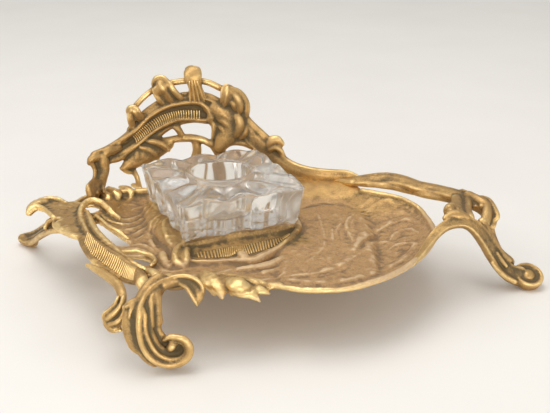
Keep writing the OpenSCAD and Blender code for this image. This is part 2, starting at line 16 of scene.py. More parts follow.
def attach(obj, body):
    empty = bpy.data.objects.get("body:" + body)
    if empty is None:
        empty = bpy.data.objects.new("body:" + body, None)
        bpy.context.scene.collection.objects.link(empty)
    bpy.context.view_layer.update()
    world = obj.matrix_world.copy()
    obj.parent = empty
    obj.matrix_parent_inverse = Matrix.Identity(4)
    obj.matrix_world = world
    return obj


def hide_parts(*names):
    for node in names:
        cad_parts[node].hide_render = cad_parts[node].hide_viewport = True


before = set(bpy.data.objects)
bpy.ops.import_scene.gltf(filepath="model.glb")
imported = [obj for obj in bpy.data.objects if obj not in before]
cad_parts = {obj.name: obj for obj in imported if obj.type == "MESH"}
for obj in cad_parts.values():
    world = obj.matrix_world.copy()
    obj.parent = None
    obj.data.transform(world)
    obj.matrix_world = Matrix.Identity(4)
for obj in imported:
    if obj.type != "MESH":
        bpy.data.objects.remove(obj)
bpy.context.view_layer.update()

MM = 0.001

# %% [markdown]
# ## Camera, floor and light
# The camera stands in front of the stand and looks down on it by about 22 degrees. The floor is
# pale and fills the camera's view. It ends behind the stand in a low lip, and beyond it there is
# only the world. Brass shows what is round it, so the lamps are large and soft, and the world is
# brighter overhead than at the height of the stand.

# %% Camera
FRAME_WIDTH, FOCAL_PX, SENSOR = 550, 900, 36
eye = Vector((0.003, -0.365, 0.186))
look_down = math.radians(21.8)

camera = bpy.data.objects.new("camera", bpy.data.cameras.new("camera"))
camera.data.sensor_width = SENSOR
camera.data.lens = SENSOR * FOCAL_PX / FRAME_WIDTH
camera.location = eye
camera.rotation_euler = (math.pi / 2 - look_down, 0, 0)
bpy.context.scene.collection.objects.link(camera)
bpy.context.scene.camera = camera
bpy.context.scene.view_settings.view_transform = "Standard"
print("lens in mm:", round(camera.data.lens, 1))


# %% One class for shader maths
class Sig:
    """A socket of a node tree: sums and products of it add Math nodes."""

    def __init__(self, tree, socket):
        self.tree, self.socket = tree, socket

    def node(self, kind, settings=None, links=None, out=0):
        made = self.tree.nodes.new(kind)
        for key, value in (settings or {}).items():
            if key == "stops":
                ramp = made.color_ramp
                while len(ramp.elements) < len(value):
                    ramp.elements.new(0.5)
                for element, (place, colour) in zip(ramp.elements, value):
                    element.position = place
                    element.color = (*colour, 1)
            else:
                setattr(made, key, value)
        for key, value in (links or {}).items():
            if isinstance(value, Sig):
                self.tree.links.new(value.socket, made.inputs[key])
            else:
                made.inputs[key].default_value = value
        return Sig(self.tree, made.outputs[out])

    def maths(self, operation, *values):
        return self.node("ShaderNodeMath", {"operation": operation}, dict(enumerate(values)))

    def __add__(self, other): return self.maths("ADD", self, other)
    def __radd__(self, other): return self.maths("ADD", other, self)
    def __sub__(self, other): return self.maths("SUBTRACT", self, other)
    def __rsub__(self, other): return self.maths("SUBTRACT", other, self)
    def __mul__(self, other): return self.maths("MULTIPLY", self, other)
    def __rmul__(self, other): return self.maths("MULTIPLY", other, self)
    def __pow__(self, other): return self.maths("POWER", self, other)

    def clip(self, low=0.0, high=1.0):
        return self.node("ShaderNodeMapRange", {"clamp": True},
                         {0: self, 1: low, 2: high, 3: 0.0, 4: 1.0})

    def mix(self, first, second):
        """Colour `first` where this value is 0, and `second` where it is 1."""
        return self.node("ShaderNodeMix", {"data_type": "RGBA"},
                         {0: self, 6: first, 7: second}, out=2)

    def noise(self, scale, detail=3.0, rough=0.55):
        return self.node("ShaderNodeTexNoise", {},
                         {"Vector": self, "Scale": scale, "Detail": detail, "Roughness": rough})


def new_material(name):
    material = bpy.data.materials.new(name)
    material.use_nodes = True
    tree = material.node_tree
    shader = next(n for n in tree.nodes if n.type == "BSDF_PRINCIPLED")
    place = Sig(tree, tree.nodes.new("ShaderNodeTexCoord").outputs["Object"])
    return material, tree, shader, place


def feed(tree, shader, **sockets):
    """Links or sets sockets of the shader; an underscore in a name stands for a space."""
    for key, value in sockets.items():
        socket = shader.inputs[key.replace("_", " ")]
        if isinstance(value, Sig):
            tree.links.new(value.socket, socket)
        else:
            socket.default_value = value


# %% Floor
FLOOR_HALF, FLOOR_FRONT, FLOOR_BACK = 2.4, -1.6, 1.5
LIP_R, LIP_ANGLE = 0.35, math.pi / 24       # 3 mm high


def pale_floor():
    """One edge, extruded to the back and once more up a low lip."""
    bm = bmesh.new()
    ends = [bm.verts.new((x, FLOOR_FRONT, 0)) for x in (-FLOOR_HALF, FLOOR_HALF)]
    bm.edges.new(ends)
    lip = (FLOOR_BACK + LIP_R * math.sin(LIP_ANGLE), LIP_R * (1 - math.cos(LIP_ANGLE)))
    for y, z in ((FLOOR_BACK, 0), lip):
        geom = bmesh.ops.extrude_edge_only(bm, edges=[bm.edges.get(ends)])["geom"]
        ends = [g for g in geom if isinstance(g, bmesh.types.BMVert)]
        for v in ends:
            v.co.y, v.co.z = y, z
    bmesh.ops.recalc_face_normals(bm, faces=bm.faces)
    mesh = bpy.data.meshes.new("floor")
    bm.to_mesh(mesh)
    bm.free()
    for face in mesh.polygons:
        face.use_smooth = True
    floor = bpy.data.objects.new("floor", mesh)
    bpy.context.scene.collection.objects.link(floor)
    return floor


floor = pale_floor()
material, tree, shader, place = new_material("pale_floor")
paper = place.noise(9.0).clip(0.3, 0.7).mix((0.80, 0.785, 0.76, 1), (0.83, 0.815, 0.79, 1))
feed(tree, shader, Base_Color=paper, Roughness=0.7)
floor.data.materials.append(material)
print("floor:", len(floor.data.polygons), "faces")


# %% Lamps and world
MIDDLE = Vector((0, 0, 0.03))


def soft_lamp(name, place, size, watts, colour):
    """A rectangular area lamp that looks at the middle of the stand."""
    lamp = bpy.data.objects.new(name, bpy.data.lights.new(name, "AREA"))
    lamp.data.shape = "RECTANGLE"
    lamp.data.size, lamp.data.size_y = size
    lamp.data.energy = watts
    lamp.data.color = colour
    lamp.location = place
    lamp.rotation_euler = (MIDDLE - Vector(place)).to_track_quat("-Z", "Y").to_euler()
    bpy.context.scene.collection.objects.link(lamp)


soft_lamp("overhead", (-0.15, 0.05, 0.95), (0.8, 0.6), 3.7, (1, 0.97, 0.93))
soft_lamp("left_window", (-0.9, -0.35, 0.55), (0.5, 0.7), 2.6, (1, 0.98, 0.95))
soft_lamp("right_fill", (0.9, -0.5, 0.5), (0.5, 0.6), 1.6, (1, 0.95, 0.88))
soft_lamp("front_fill", (0.15, -1.15, 0.20), (1.0, 0.3), 6.0, (1, 0.96, 0.90))

world = bpy.data.worlds.new("studio")
world.use_nodes = True
bpy.context.scene.world = world
tree = world.node_tree
backdrop = next(n for n in tree.nodes if n.type == "BACKGROUND")
toward = Sig(tree, tree.nodes.new("ShaderNodeTexCoord").outputs["Generated"])
height = toward.node("ShaderNodeSeparateXYZ", {}, {0: toward}, out=2)
tree.links.new(height.clip(-0.1, 0.9).mix((0.42, 0.40, 0.37, 1), (0.95, 0.94, 0.92, 1)).socket,
               backdrop.inputs["Color"])
backdrop.inputs["Strength"].default_value = 0.78

# %% [markdown]
# ## How the scroll work is made
# Every scroll is one outline swept along a smooth path: a ring of vertices is extruded and
# placed station by station. All the scrolls of a casting are then melted into one skin with a
# voxel remesh and smoothed a little, which gives the soft fillets that a casting has.

# %% Smooth paths
UP, FRONT = (0, 0, 1), (0, -1, 0)


def smooth_path(points, per=5, closed=False):
    """Catmull-Rom path through the points, which may carry more values than x, y and z."""
    p = np.array(points, float)
    n = len(p)
    if closed:
        quad = [(p[i - 1], p[i], p[(i + 1) % n], p[(i + 2) % n]) for i in range(n)]
    else:
        q = np.vstack([2 * p[0] - p[1], p, 2 * p[-1] - p[-2]])
        quad = [tuple(q[i:i + 4]) for i in range(n - 1)]
    out = []
    for a, b, c, d in quad:
        for t in np.arange(per) / per:
            out.append(0.5 * (2 * b + (c - a) * t + (2 * a - 5 * b + 4 * c - d) * t * t
                              + (3 * b - a - 3 * c + d) * t ** 3))
    return np.array(out if closed else out + [p[-1]])


print("stations on a path through 3 points:", len(smooth_path([UP, FRONT, UP])))

# %% Outlines of a scroll
def dome(u):
    return math.sqrt(max(0.0, 1 - u * u))


def bulge(u, at, wide):
    return math.exp(-((u - at) / wide) ** 2)


def outline(face, half):
    """Closed outline, as (across, out) from -1 to 1: a rounded back and the given face."""
    us = [math.cos(math.pi * k / half) for k in range(half)]
    return [(u, face(u)) for u in us] + [(-u, -dome(u)) for u in us]


def grooved(count, depth):
    """A rounded face with `count` grooves along it."""
    return lambda u: dome(u) * (1 - depth * (0.5 + 0.5 * math.cos(2 * math.pi * count * (u + 1) / 2
                                                                 + math.pi * (count + 1))))


def cove(depth, lip=0.78):
    """A hollow face between two raised lips."""
    return lambda u: max(dome(u) ** 0.5 - depth * math.exp(-(u / lip) ** 4 * 2.2), -0.2)


def ribbon(u):
    """A flat face with two fine lines on one side and a raised edge on the other."""
    return (0.85 * dome(u) ** 0.7 - 0.16 * bulge(u, -0.66, 0.07) - 0.16 * bulge(u, -0.42, 0.07)
            + 0.22 * bulge(u, 0.78, 0.16))


ROUND = outline(dome, half=10)
RIDGED = outline(grooved(2, 0.28), half=18)
RIBBON = outline(ribbon, half=20)
FLUTED = outline(grooved(4, 0.30), half=24)
HOLLOW = outline(cove(0.75), half=16)
print("points round the outlines:", [len(o) for o in (ROUND, RIDGED, RIBBON, FLUTED, HOLLOW)])

# %% Sweeping an outline
def unit(v):
    return v / np.maximum(np.linalg.norm(v, axis=-1, keepdims=True), 1e-9)


def first_ring(bm, count, filled=True):
    return bmesh.ops.create_circle(bm, cap_ends=filled, segments=count, radius=1)["verts"]


def ring_edges(bm, ring):
    return [bm.edges.get((a, b)) for a, b in zip(ring, ring[1:] + ring[:1])]


def next_ring(bm, ring):
    """Extrudes a ring of vertices, and returns the new ring in the same order."""
    made = bmesh.ops.extrude_edge_only(bm, edges=ring_edges(bm, ring))["geom"]
    fresh = {g for g in made if isinstance(g, bmesh.types.BMVert)}
    return [next(e.other_vert(v) for e in v.link_edges if e.other_vert(v) in fresh) for v in ring]


def fill_ring(bm, ring):
    bmesh.ops.contextual_create(bm, geom=ring_edges(bm, ring))


CAP_ANGLES = (1.3, 0.95, 0.55)


def sweep(bm, points, face=UP, shape=ROUND, per=5):
    """One scroll along points (x, y, z, half width, half thickness), all in mm.

    `face` is the way its face looks: one direction, or one for each point.
    """
    path = smooth_path(points, per)
    along = unit(np.gradient(path[:, :3], axis=0))
    faces = np.broadcast_to(np.array(face, float), along.shape) if np.ndim(face) == 1 \
        else smooth_path(face, per)

    def cap(end, side, angles):
        return [np.r_[path[end, :3] + side * along[end] * path[end, 4] * math.sin(a),
                      path[end, 3:] * math.cos(a)] for a in angles]

    path = np.vstack([cap(0, -1, CAP_ANGLES), path, cap(-1, 1, CAP_ANGLES[::-1])])
    n = len(CAP_ANGLES)
    along, faces = (np.vstack([[d[0]] * n, d, [d[-1]] * n]) for d in (along, faces))
    wide = unit(np.cross(along, faces))
    out = np.cross(wide, along)
    ring = first_ring(bm, len(shape))
    for i, station in enumerate(path):
        if i:
            ring = next_ring(bm, ring)
        for v, (u, t) in zip(ring, shape):
            v.co = (station[:3] + wide[i] * u * station[3] + out[i] * t * station[4]) * MM
    fill_ring(bm, ring)


def sweep_all(bm, paths, place=list, face=FRONT, shape=ROUND):
    """Sweeps one outline along several paths, each put in its place first."""
    for path in paths:
        sweep(bm, place(path), face, shape)


def on_skin(piece, point, face):
    """Where a line through the point, along `face` and from in front, meets the skin (in mm)."""
    reach, face = 6, Vector(face).normalized()
    start = (Vector(point) + face * reach) * MM
    hit, place, _, _ = piece.ray_cast(start, -face, distance=2 * reach * MM)
    return np.array(place) / MM if hit else np.array(point, float)


def ribs(bm, skin, first, second, count, radius, face, lift):
    """A row of fine ribs on a skin, each from one guide path to the other."""
    guides = [smooth_path(guide, 12) for guide in (first, second)]
    for share in (np.arange(count) + 0.5) / count:
        p, q = (np.array([np.interp(share * (len(g) - 1), np.arange(len(g)), g[:, k])
                          for k in range(3)]) for g in guides)
        line = [on_skin(skin, p + (q - p) * t, face) + np.array(face) * lift
                for t in (0, 0.25, 0.5, 0.75, 1)]
        sweep(bm, [(*point, radius, radius) for point in line], face, outline(dome, half=3), per=1)


# %% Melting the scrolls into one casting
def to_object(bm, name):
    bmesh.ops.recalc_face_normals(bm, faces=bm.faces)
    mesh = bpy.data.meshes.new(name)
    bm.to_mesh(mesh)
    bm.free()
    piece = bpy.data.objects.new(name, mesh)
    bpy.context.scene.collection.objects.link(piece)
    return piece


def apply_modifiers(piece):
    graph = bpy.context.evaluated_depsgraph_get()
    done = bpy.data.meshes.new_from_object(piece.evaluated_get(graph))
    piece.modifiers.clear()
    old, piece.data = piece.data, done
    bpy.data.meshes.remove(old)


def melt(piece, voxel, rounds):
    """Voxel remesh to one skin, then a light smoothing."""
    skin = piece.modifiers.new("skin", "REMESH")
    skin.mode, skin.voxel_size = "VOXEL", voxel * MM
    soft = piece.modifiers.new("soft", "SMOOTH")
    soft.factor, soft.iterations = 0.5, rounds
    apply_modifiers(piece)


def cut(piece, cutter):
    """Takes the cutter's form out of the piece, and the cutter out of the scene."""
    hole = piece.modifiers.new("hole", "BOOLEAN")
    hole.operation, hole.object, hole.solver = "DIFFERENCE", cutter, "EXACT"
    apply_modifiers(piece)
    mesh = cutter.data
    bpy.data.objects.remove(cutter)
    bpy.data.meshes.remove(mesh)


def add_to(piece, bm):
    """Adds finer work to a casting without melting it in."""
    bmesh.ops.recalc_face_normals(bm, faces=bm.faces)
    bm.from_mesh(piece.data)
    bm.to_mesh(piece.data)
    bm.free()


# %% [markdown]
# ## Wear, dirt and painted light
# Hands and cloths polish the ridges, and patina stays in the hollows. The ridges are also painted
# lighter as highlights, and the hollow front of the seat under the glass is painted darker as
# shade.
# Each casting gets an attribute that says how hollow its skin is at every point: the skin is
# smoothed a few times, and a point that the smoothing lifts outwards lay in a hollow.

# %% Hollowness of a skin
NEAR, FAR = 8, 40                       # rounds of smoothing that find fine and broad hollows
NEAR_DEPTH, FAR_DEPTH = 0.35, 0.8       # lift of a clear hollow after those rounds, in mm


def read_points(piece, what="co"):
    values = np.empty(len(piece.data.vertices) * 3)
    piece.data.vertices.foreach_get(what, values)
    return values.reshape(-1, 3)


def move_points(piece, co):
    piece.data.vertices.foreach_set("co", co.ravel())
    piece.data.update()


def write_attribute(piece, name, value):
    value = np.clip(value, 0, 1).astype(np.float32)
    piece.data.attributes.new(name, "FLOAT", "POINT").data.foreach_set("value", value)
    return value


def neighbours_mean(co, edges, degree):
    total = np.zeros_like(co)
    np.add.at(total, edges[:, 0], co[edges[:, 1]])
    np.add.at(total, edges[:, 1], co[edges[:, 0]])
    return total / degree[:, None]


def mark_hollows(piece):
    """Writes `hollow`: 0 on a ridge, 0.5 on a plain face, 1 in a groove."""
    mesh = piece.data
    co, normal = read_points(piece), read_points(piece, "normal")
    edges = np.empty(len(mesh.edges) * 2, int)
    mesh.edges.foreach_get("vertices", edges)
    edges = edges.reshape(-1, 2)
    degree = np.maximum(np.bincount(edges.ravel(), minlength=len(co)), 1)
    soft, depth = co.copy(), np.zeros(len(co))
    for i in range(1, FAR + 1):
        soft = neighbours_mean(soft, edges, degree)
        if i in (NEAR, FAR):
            clear = NEAR_DEPTH if i == NEAR else FAR_DEPTH
            lift = np.einsum("ij,ij->i", soft - co, normal) / MM / clear
            depth += lift - np.median(lift)
    value = write_attribute(piece, "hollow", 0.5 + 0.35 * depth)
    print(f"{piece.name}: {len(co)} points, hollow {value.mean():.2f} on average")


# This darkens the skin near a line; it paints shade as well as patina.
def darken_near(piece, line, reach, value):
    """Makes the skin within `reach` mm of a line at least as hollow as `value`."""
    co = read_points(piece) / MM
    near = np.full(len(co), 1e9)
    for p in smooth_path(line, 6):
        near = np.minimum(near, ((co - p[:3]) ** 2).sum(1))
    mark = piece.data.attributes["hollow"].data
    old = np.empty(len(co), np.float32)
    mark.foreach_get("value", old)
    share = np.clip((reach - np.sqrt(near)) / (0.3 * reach), 0, 1)
    mark.foreach_set("value", np.maximum(old, value * share).astype(np.float32))


def halfway(first, second):
    """The line in the middle between two lines of the same number of points."""
    return [tuple((a + b) / 2 for a, b in zip(p, q)) for p, q in zip(first, second)]


def settle(piece, voxel=0.45, rounds=2):
    """Melts a foot or the rail, and flattens it where it stands on the desk."""
    melt(piece, voxel, rounds)
    co = read_points(piece)
    co[:, 2] = np.maximum(co[:, 2], 0)
    move_points(piece, co)
    mark_hollows(piece)


def finish_piece(piece, body, nodes, material):
    for face in piece.data.polygons:
        face.use_smooth = True
    piece.data.materials.clear()
    piece.data.materials.append(material)
    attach(piece, body)
    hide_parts(*nodes)
    piece.data.calc_loop_triangles()
    print(f"{piece.name}: {len(piece.data.loop_triangles)} triangles")


# %% Aged brass
GOLDEN, BROWNED = (0.68, 0.435, 0.165, 1), (0.52, 0.325, 0.130, 1)
# The last colour on the next line is for the ridges: polished brass, and also a painted highlight.
CLOUDED, RUBBED_AND_HIGHLIT = (0.34, 0.210, 0.090, 1), (1.0, 0.74, 0.34, 1)
GREEN, GREEN_BROWN = (0.072, 0.060, 0.030, 1), (0.120, 0.082, 0.038, 1)
DUST, DARK_DUST = (0.58, 0.350, 0.165, 1), (0.32, 0.185, 0.078, 1)
# The first colour on the next line is a painted highlight: paler dust on the ridges.
RIDGE_DUST_HIGHLIGHT, GROOVE_DUST = (0.70, 0.54, 0.36, 1), (0.15, 0.100, 0.052, 1)
CHALK = (0.72, 0.56, 0.40, 1)


def attribute(tree, name):
    node = tree.nodes.new("ShaderNodeAttribute")
    node.attribute_name = name
    return Sig(tree, node.outputs["Fac"])


def brass_material(name, dust):
    material, tree, shader, place = new_material(name)
    hollow, dusty = attribute(tree, "hollow"), attribute(tree, "dust")
    patch = place.noise(38.0, 4.0).clip(0.36, 0.66)
    mottle = place.noise(210.0, 5.0, 0.62).clip(0.3, 0.7)
    speck = place.noise(1300.0, 3.0, 0.65).clip(0.34, 0.66)
    ridge = (0.43 - hollow + (speck - 0.5) * 0.10).clip(0.0, 0.32)
    groove = (hollow + (mottle - 0.5) * 0.20 + (speck - 0.5) * 0.12).clip(0.58, 0.92)
    cloudy = (mottle * 0.55 + speck * 0.25).mix(patch.mix(GOLDEN, BROWNED), CLOUDED)
    # The ridges are coloured lighter: polished wear, and also a painted highlight on every ridge.
    worn_and_highlit = (ridge * (0.45 + 0.55 * (1.0 - mottle))).mix(cloudy, RUBBED_AND_HIGHLIT)
    colour = (groove * 0.90).mix(worn_and_highlit, patch.mix(GREEN, GREEN_BROWN))
    rough = 0.33 + 0.16 * mottle + 0.10 * speck + 0.20 * groove - 0.07 * ridge
    metal = 0.95 - 0.45 * groove - 0.12 * mottle
    if dust:
        film = (dusty * (0.78 + 0.2 * mottle + 0.2 * speck)).clip(0.05, 0.95)
        powder = (mottle * 0.5 + speck * 0.5).mix(DUST, DARK_DUST)
        # Dust on the ridges is painted paler, as a highlight.
        pale = (ridge * (0.3 + 0.45 * speck)).mix(powder, RIDGE_DUST_HIGHLIGHT)
        flecks = place.noise(520.0, 4.0, 0.7).clip(0.60, 0.70) * (1.0 - groove)
        settled = (groove * 0.66).mix((flecks * 0.55).mix(pale, CHALK), GROOVE_DUST)
        colour = (film * 0.86).mix(colour, settled)
        rough = rough + 0.14 * film
        metal = metal - 0.50 * film
    height = speck * 0.45 + mottle * 0.9
    bump = height.node("ShaderNodeBump", {}, {"Strength": 0.6, "Distance": 0.00018,
                                             "Height": height})
    feed(tree, shader, Base_Color=colour, Roughness=rough.clip(0.0, 1.0),
         Metallic=metal.clip(0.0, 1.0), Normal=bump)
    return material


brass = brass_material("aged_brass", dust=False)
dusty_brass = brass_material("dusty_brass", dust=True)
print("materials:", brass.name, dusty_brass.name)

# %% [markdown]
# ## The pierced gallery
# It stands behind the glass: one broad C-scroll with a hollow, ribbed face between two lips,
# an outer ridge, a thin ring rail with leaf fingers curling over it, an acanthus turn at the
# right, and the long arm that runs down to the tray's tab. Its points are given as x, distance
# in front (-) of its middle plane, and height above the seat, because it was designed flat.

# %% Places that several pieces share
SEAT_Z, RIM_Z, FLOOR_Z = 28.0, 29.5, 25.0
GALLERY_Y, BOW, BOW_FROM = 69.5, 0.0122, -46
GLASS_AT, GLASS_TURN = (-22.0, 23.5), math.radians(23)


def gallery(points):
    """Gallery points to object points; its left end bends forward."""
    return [(x, GALLERY_Y - BOW * max(0.0, BOW_FROM - x) ** 2 + d, SEAT_Z + h, *size)
            for x, d, h, *size in points]


def same(points, size):
    """The same half width and half thickness at every point of a line."""
    return [(*p, size, size) for p in points]


print("foot of the gallery's middle plane, in mm:", gallery([(0, 0, 0)])[0])

# %% Gallery: bands, lips and rail
bm = bmesh.new()
band = [(-85, 0, 17.5, 3, 2.2), (-78, 0, 18.5, 3.6, 2.4), (-70, 0, 22, 4.2, 2.6),
    (-62.5, 0, 27.5, 4.9, 2.6), (-55, 0, 32, 5.2, 2.6), (-47, 0, 35.5, 5.2, 2.6),
    (-38.5, 0, 36.5, 5.2, 2.6), (-32, 0, 35.5, 4.6, 2.6), (-28.5, 0, 33, 3.6, 2.6)]
sweep(bm, gallery(band), FRONT, HOLLOW)
outer_lip = [(-73, -1.4, 23.5), (-66, -2, 27.5), (-59.5, -2.2, 33.5), (-51, -2.2, 38.2),
    (-42, -2.2, 40.2), (-35, -2.2, 40.4), (-31, -2.4, 38), (-29.6, -2.4, 34.5),
    (-30.4, -2.2, 31.5)]
inner_lip = [(-80, -1.4, 13.5), (-74, -1.6, 14.8), (-65.5, -2, 20.2), (-56.5, -2.2, 26.8),
    (-47, -2.2, 31.2), (-40.5, -2.2, 32.2), (-32, -2, 31.2)]
sweep_all(bm, [same(outer_lip, 1.15), same(inner_lip, 1.2)], gallery)
ridge = [(-75, 0, 21.5, 1.8, 1.8), (-70, 0, 24, 2, 2), (-66, 0, 28.5, 2.2, 2),
    (-61.5, 0, 34, 2.4, 2.2), (-55, 0, 38.5, 2.6, 2.2), (-48, 0, 41.3, 2.6, 2.3),
    (-40, 0, 42.8, 2.6, 2.4), (-31.5, 0, 42.2, 2.8, 2.6), (-25.5, 0, 39.7, 2.6, 2.8),
    (-20, 0, 36.5, 2.4, 2.8), (-15.8, 0, 32.5, 2.3, 2.9), (-14.5, 0, 28, 2.3, 2.9),
    (-15.2, 0, 23.5, 2.2, 2.8), (-18.5, 0, 20, 1.6, 2.2)]
sweep(bm, gallery(ridge), FRONT, RIDGED)
web = [(-68, 0.4, 26, 3.5, 1.6), (-58, 0.4, 35, 4, 1.7), (-46, 0.4, 39, 4, 1.7),
    (-34, 0.4, 39.5, 5, 1.7), (-27, 0.2, 37, 5, 1.8), (-22, 0, 31.5, 6.5, 2), (-20.5, 0, 25, 6, 2),
    (-21, 0, 19, 3.5, 2)]
ring_rail = [(-67, -0.5, 38, 1.5, 1.4), (-62.5, 0, 42.6, 1.5, 1.4), (-57.5, 0, 46.4, 1.5, 1.4),
    (-52, 0, 48.8, 1.6, 1.4), (-46, 0, 50.2, 1.6, 1.5), (-38, 0, 51, 1.6, 1.5),
    (-30.5, 0, 50.2, 1.6, 1.5), (-24, 0, 47.2, 1.7, 1.5)]
loop = [(-31.5, -0.8, 38, 2, 2), (-28.6, -1, 34, 2.1, 2.4), (-28.8, -0.8, 30.5, 1.9, 2.2),
    (-26, -0.4, 26.8, 1.5, 1.9), (-24.2, 0, 23, 1.5, 1.8), (-25, 0, 19.5, 1.6, 1.8),
    (-28.5, 0, 17.8, 1.8, 1.8), (-33, 0, 20.2, 1.9, 1.9), (-39, 0, 21.4, 2.1, 2),
    (-45, 0, 21.2, 2, 1.9), (-52, 0, 20.3, 1.7, 1.8), (-58, 0, 19.8, 1.8, 1.8)]
inner_bow = [(-64, 0, 19, 2.4, 2), (-58, 0, 22.4, 2.2, 2), (-52, 0, 26.6, 2, 2),
    (-46, 0, 29.8, 2, 2), (-38, 0, 31.4, 2, 2), (-31, 0, 30.6, 1.8, 2)]
bow_knob = [(-48.5, -0.6, 28.2, 1.3, 1.3), (-45.8, -1, 26.6, 1.8, 1.6),
    (-44.2, -0.6, 23.6, 1.7, 1.6), (-43.5, 0, 21, 2, 1.6)]
sweep_all(bm, [web, ring_rail, loop, inner_bow, bow_knob], gallery)
print("points so far:", len(bm.verts))

# %% Gallery: leaf fingers over the ring rail
fingers = [
    ([(-37.4, 1.1, 53.9, 3, 2.2), (-37.4, 0.4, 55.8, 4, 2.6), (-37.3, -1.6, 55.4, 4.5, 2.9),
      (-37, -3, 53.4, 4.5, 2.7), (-36.6, -3.2, 51.1, 3.8, 2.4),
      (-36.2, -2.8, 48.5, 3.4, 2.2)], ROUND),
    ([(-36.6, -2.6, 52.4, 3.8, 2.2), (-36.2, -2.8, 49.2, 3.4, 2.2), (-35.9, -2.4, 46.4, 3.7, 2.1),
      (-35.5, -1.6, 43.1, 4.8, 1.9), (-35.4, -0.8, 40.6, 5.6, 1.6)], FLUTED),
    ([(-54.6, 1.1, 46.1, 2.6, 2), (-54.4, 0.7, 49.1, 3.8, 2.4), (-53, -1.8, 50.4, 4.3, 2.6),
      (-52, -3.4, 48.6, 4.5, 2.5), (-50.7, -3.2, 46.6, 4.4, 2.2), (-49.1, -2.4, 43.4, 4.6, 2),
      (-47.1, -1, 40.4, 5, 1.6)], RIDGED),
    ([(-50.8, -2.4, 51.6, 1.2, 1.2), (-48.6, -3.6, 50.3, 1.5, 1.5), (-47.2, -4.2, 47.9, 1.6, 1.5),
      (-45.6, -3.4, 45.4, 1.6, 1.4), (-43.4, -2, 42.5, 1.5, 1.2)], ROUND),
    ([(-56.4, -2, 47.1, 1.2, 1.3), (-55, -2.6, 44.1, 1.5, 1.4), (-53.3, -2.2, 41.4, 1.6, 1.4),
      (-51, -1.4, 39.3, 1.5, 1.2)], ROUND),
    ([(-67.7, 1.1, 34.9, 1.8, 1.6), (-68, 0, 37, 2.6, 2), (-66.8, -2.2, 38.1, 2.9, 2.1),
      (-65.6, -3, 37.5, 2.7, 2), (-64.4, -2.8, 35.1, 2.6, 1.7), (-62.3, -1.8, 33.2, 2.2, 1.4),
      (-59.6, -1, 33, 1.4, 1.1)], RIDGED),
    ([(-67.9, -1.4, 36.2, 2, 1.8), (-68.1, -1.2, 34, 1.9, 1.7), (-67.7, -0.6, 30.4, 1.8, 1.6),
      (-67.1, 0, 26.3, 1.6, 1.4)], ROUND),
    ([(-20.5, 1.1, 44.8, 2.2, 1.8), (-20.5, 0.4, 46.7, 3, 2.2), (-20.6, -2.2, 46.8, 3.3, 2.3),
      (-20.9, -3, 44, 3.1, 2.1), (-21.5, -2.4, 40.8, 2.9, 1.9),
      (-22.8, -1.2, 37.9, 2.8, 1.6)], RIDGED),
    ([(-18.7, -1.4, 46.8, 1.8, 1.7), (-15.3, -0.8, 44.7, 2.4, 2.1), (-12.6, -0.4, 40.8, 2.6, 2.3),
      (-11.7, -0.2, 36.6, 2.5, 2.3), (-12.5, 0, 32.1, 2.2, 2.2)], ROUND),
    ([(-17.9, -2.6, 45.4, 1.3, 1.3), (-15.7, -3.2, 43, 1.9, 1.6), (-14.6, -3, 39.7, 2, 1.6),
      (-14.6, -2.4, 36.2, 1.6, 1.4)], ROUND),
    ([(-19.2, -2.4, 42.3, 1.2, 1.2), (-17.5, -3, 40.1, 1.7, 1.5),
      (-16.6, -2.4, 37.2, 1.4, 1.3)], ROUND)]
for path, shape in fingers:
    sweep(bm, gallery(path), FRONT, shape)
print("leaf fingers:", len(fingers))

# %% Gallery: acanthus turn at the right
turn_back = [(-27.4, -0.8, 37.6, 4, 2.95), (-23.4, -0.8, 35, 5.4, 3.05),
    (-20, -0.8, 31.3, 6.4, 3.05), (-19.6, -0.8, 26.1, 6.4, 3.05), (-22.8, -0.8, 20.8, 5, 3),
    (-24.9, -0.8, 17.1, 3.4, 2.95)]
acanthus = [
    [(-28.3, -1.4, 36.9, 1, 1), (-24.8, -2.2, 35.6, 1.7, 1.5), (-21.4, -2.4, 33.6, 1.9, 1.6),
     (-18.4, -2.2, 30.8, 1.4, 1.3)],
    [(-27.4, -1.2, 32.8, 1, 1), (-23.9, -2.2, 31.7, 1.7, 1.5), (-20.9, -2.4, 29.2, 1.8, 1.6),
     (-19.2, -2, 25.4, 1.2, 1.2)],
    [(-26.5, -1.2, 28.8, 0.9, 1), (-23.7, -2, 27.5, 1.6, 1.4), (-22.1, -2.2, 24.4, 1.6, 1.4),
     (-21.7, -1.6, 20.6, 1, 1)],
    [(-17.9, -1.6, 35.1, 1.3, 1.3), (-15.4, -2.6, 32.4, 2.4, 1.9), (-14.7, -2.8, 28.6, 2.6, 2),
     (-16.2, -2.4, 24.8, 2.2, 1.8), (-17.8, -1.6, 22.3, 1.1, 1.2)],
    [(-13, -1, 30.6, 1.2, 1.2), (-12, -1.6, 27.4, 1.8, 1.6), (-12.7, -1.8, 24.3, 2, 1.7),
     (-15.1, -1.4, 21.7, 1.4, 1.3)],
    [(-25.6, -1.2, 24.1, 0.9, 1), (-25, -1.6, 20.9, 1.3, 1.3), (-26, -1.2, 17.3, 1, 1)],
    [(-29.2, -1.2, 32.2, 0.9, 1), (-27.8, -1.8, 29.3, 1.3, 1.2), (-27.7, -1.4, 25.3, 1.3, 1.2),
     (-28.5, -1, 21.8, 0.9, 1)]]
sweep_all(bm, [turn_back] + acanthus, gallery)
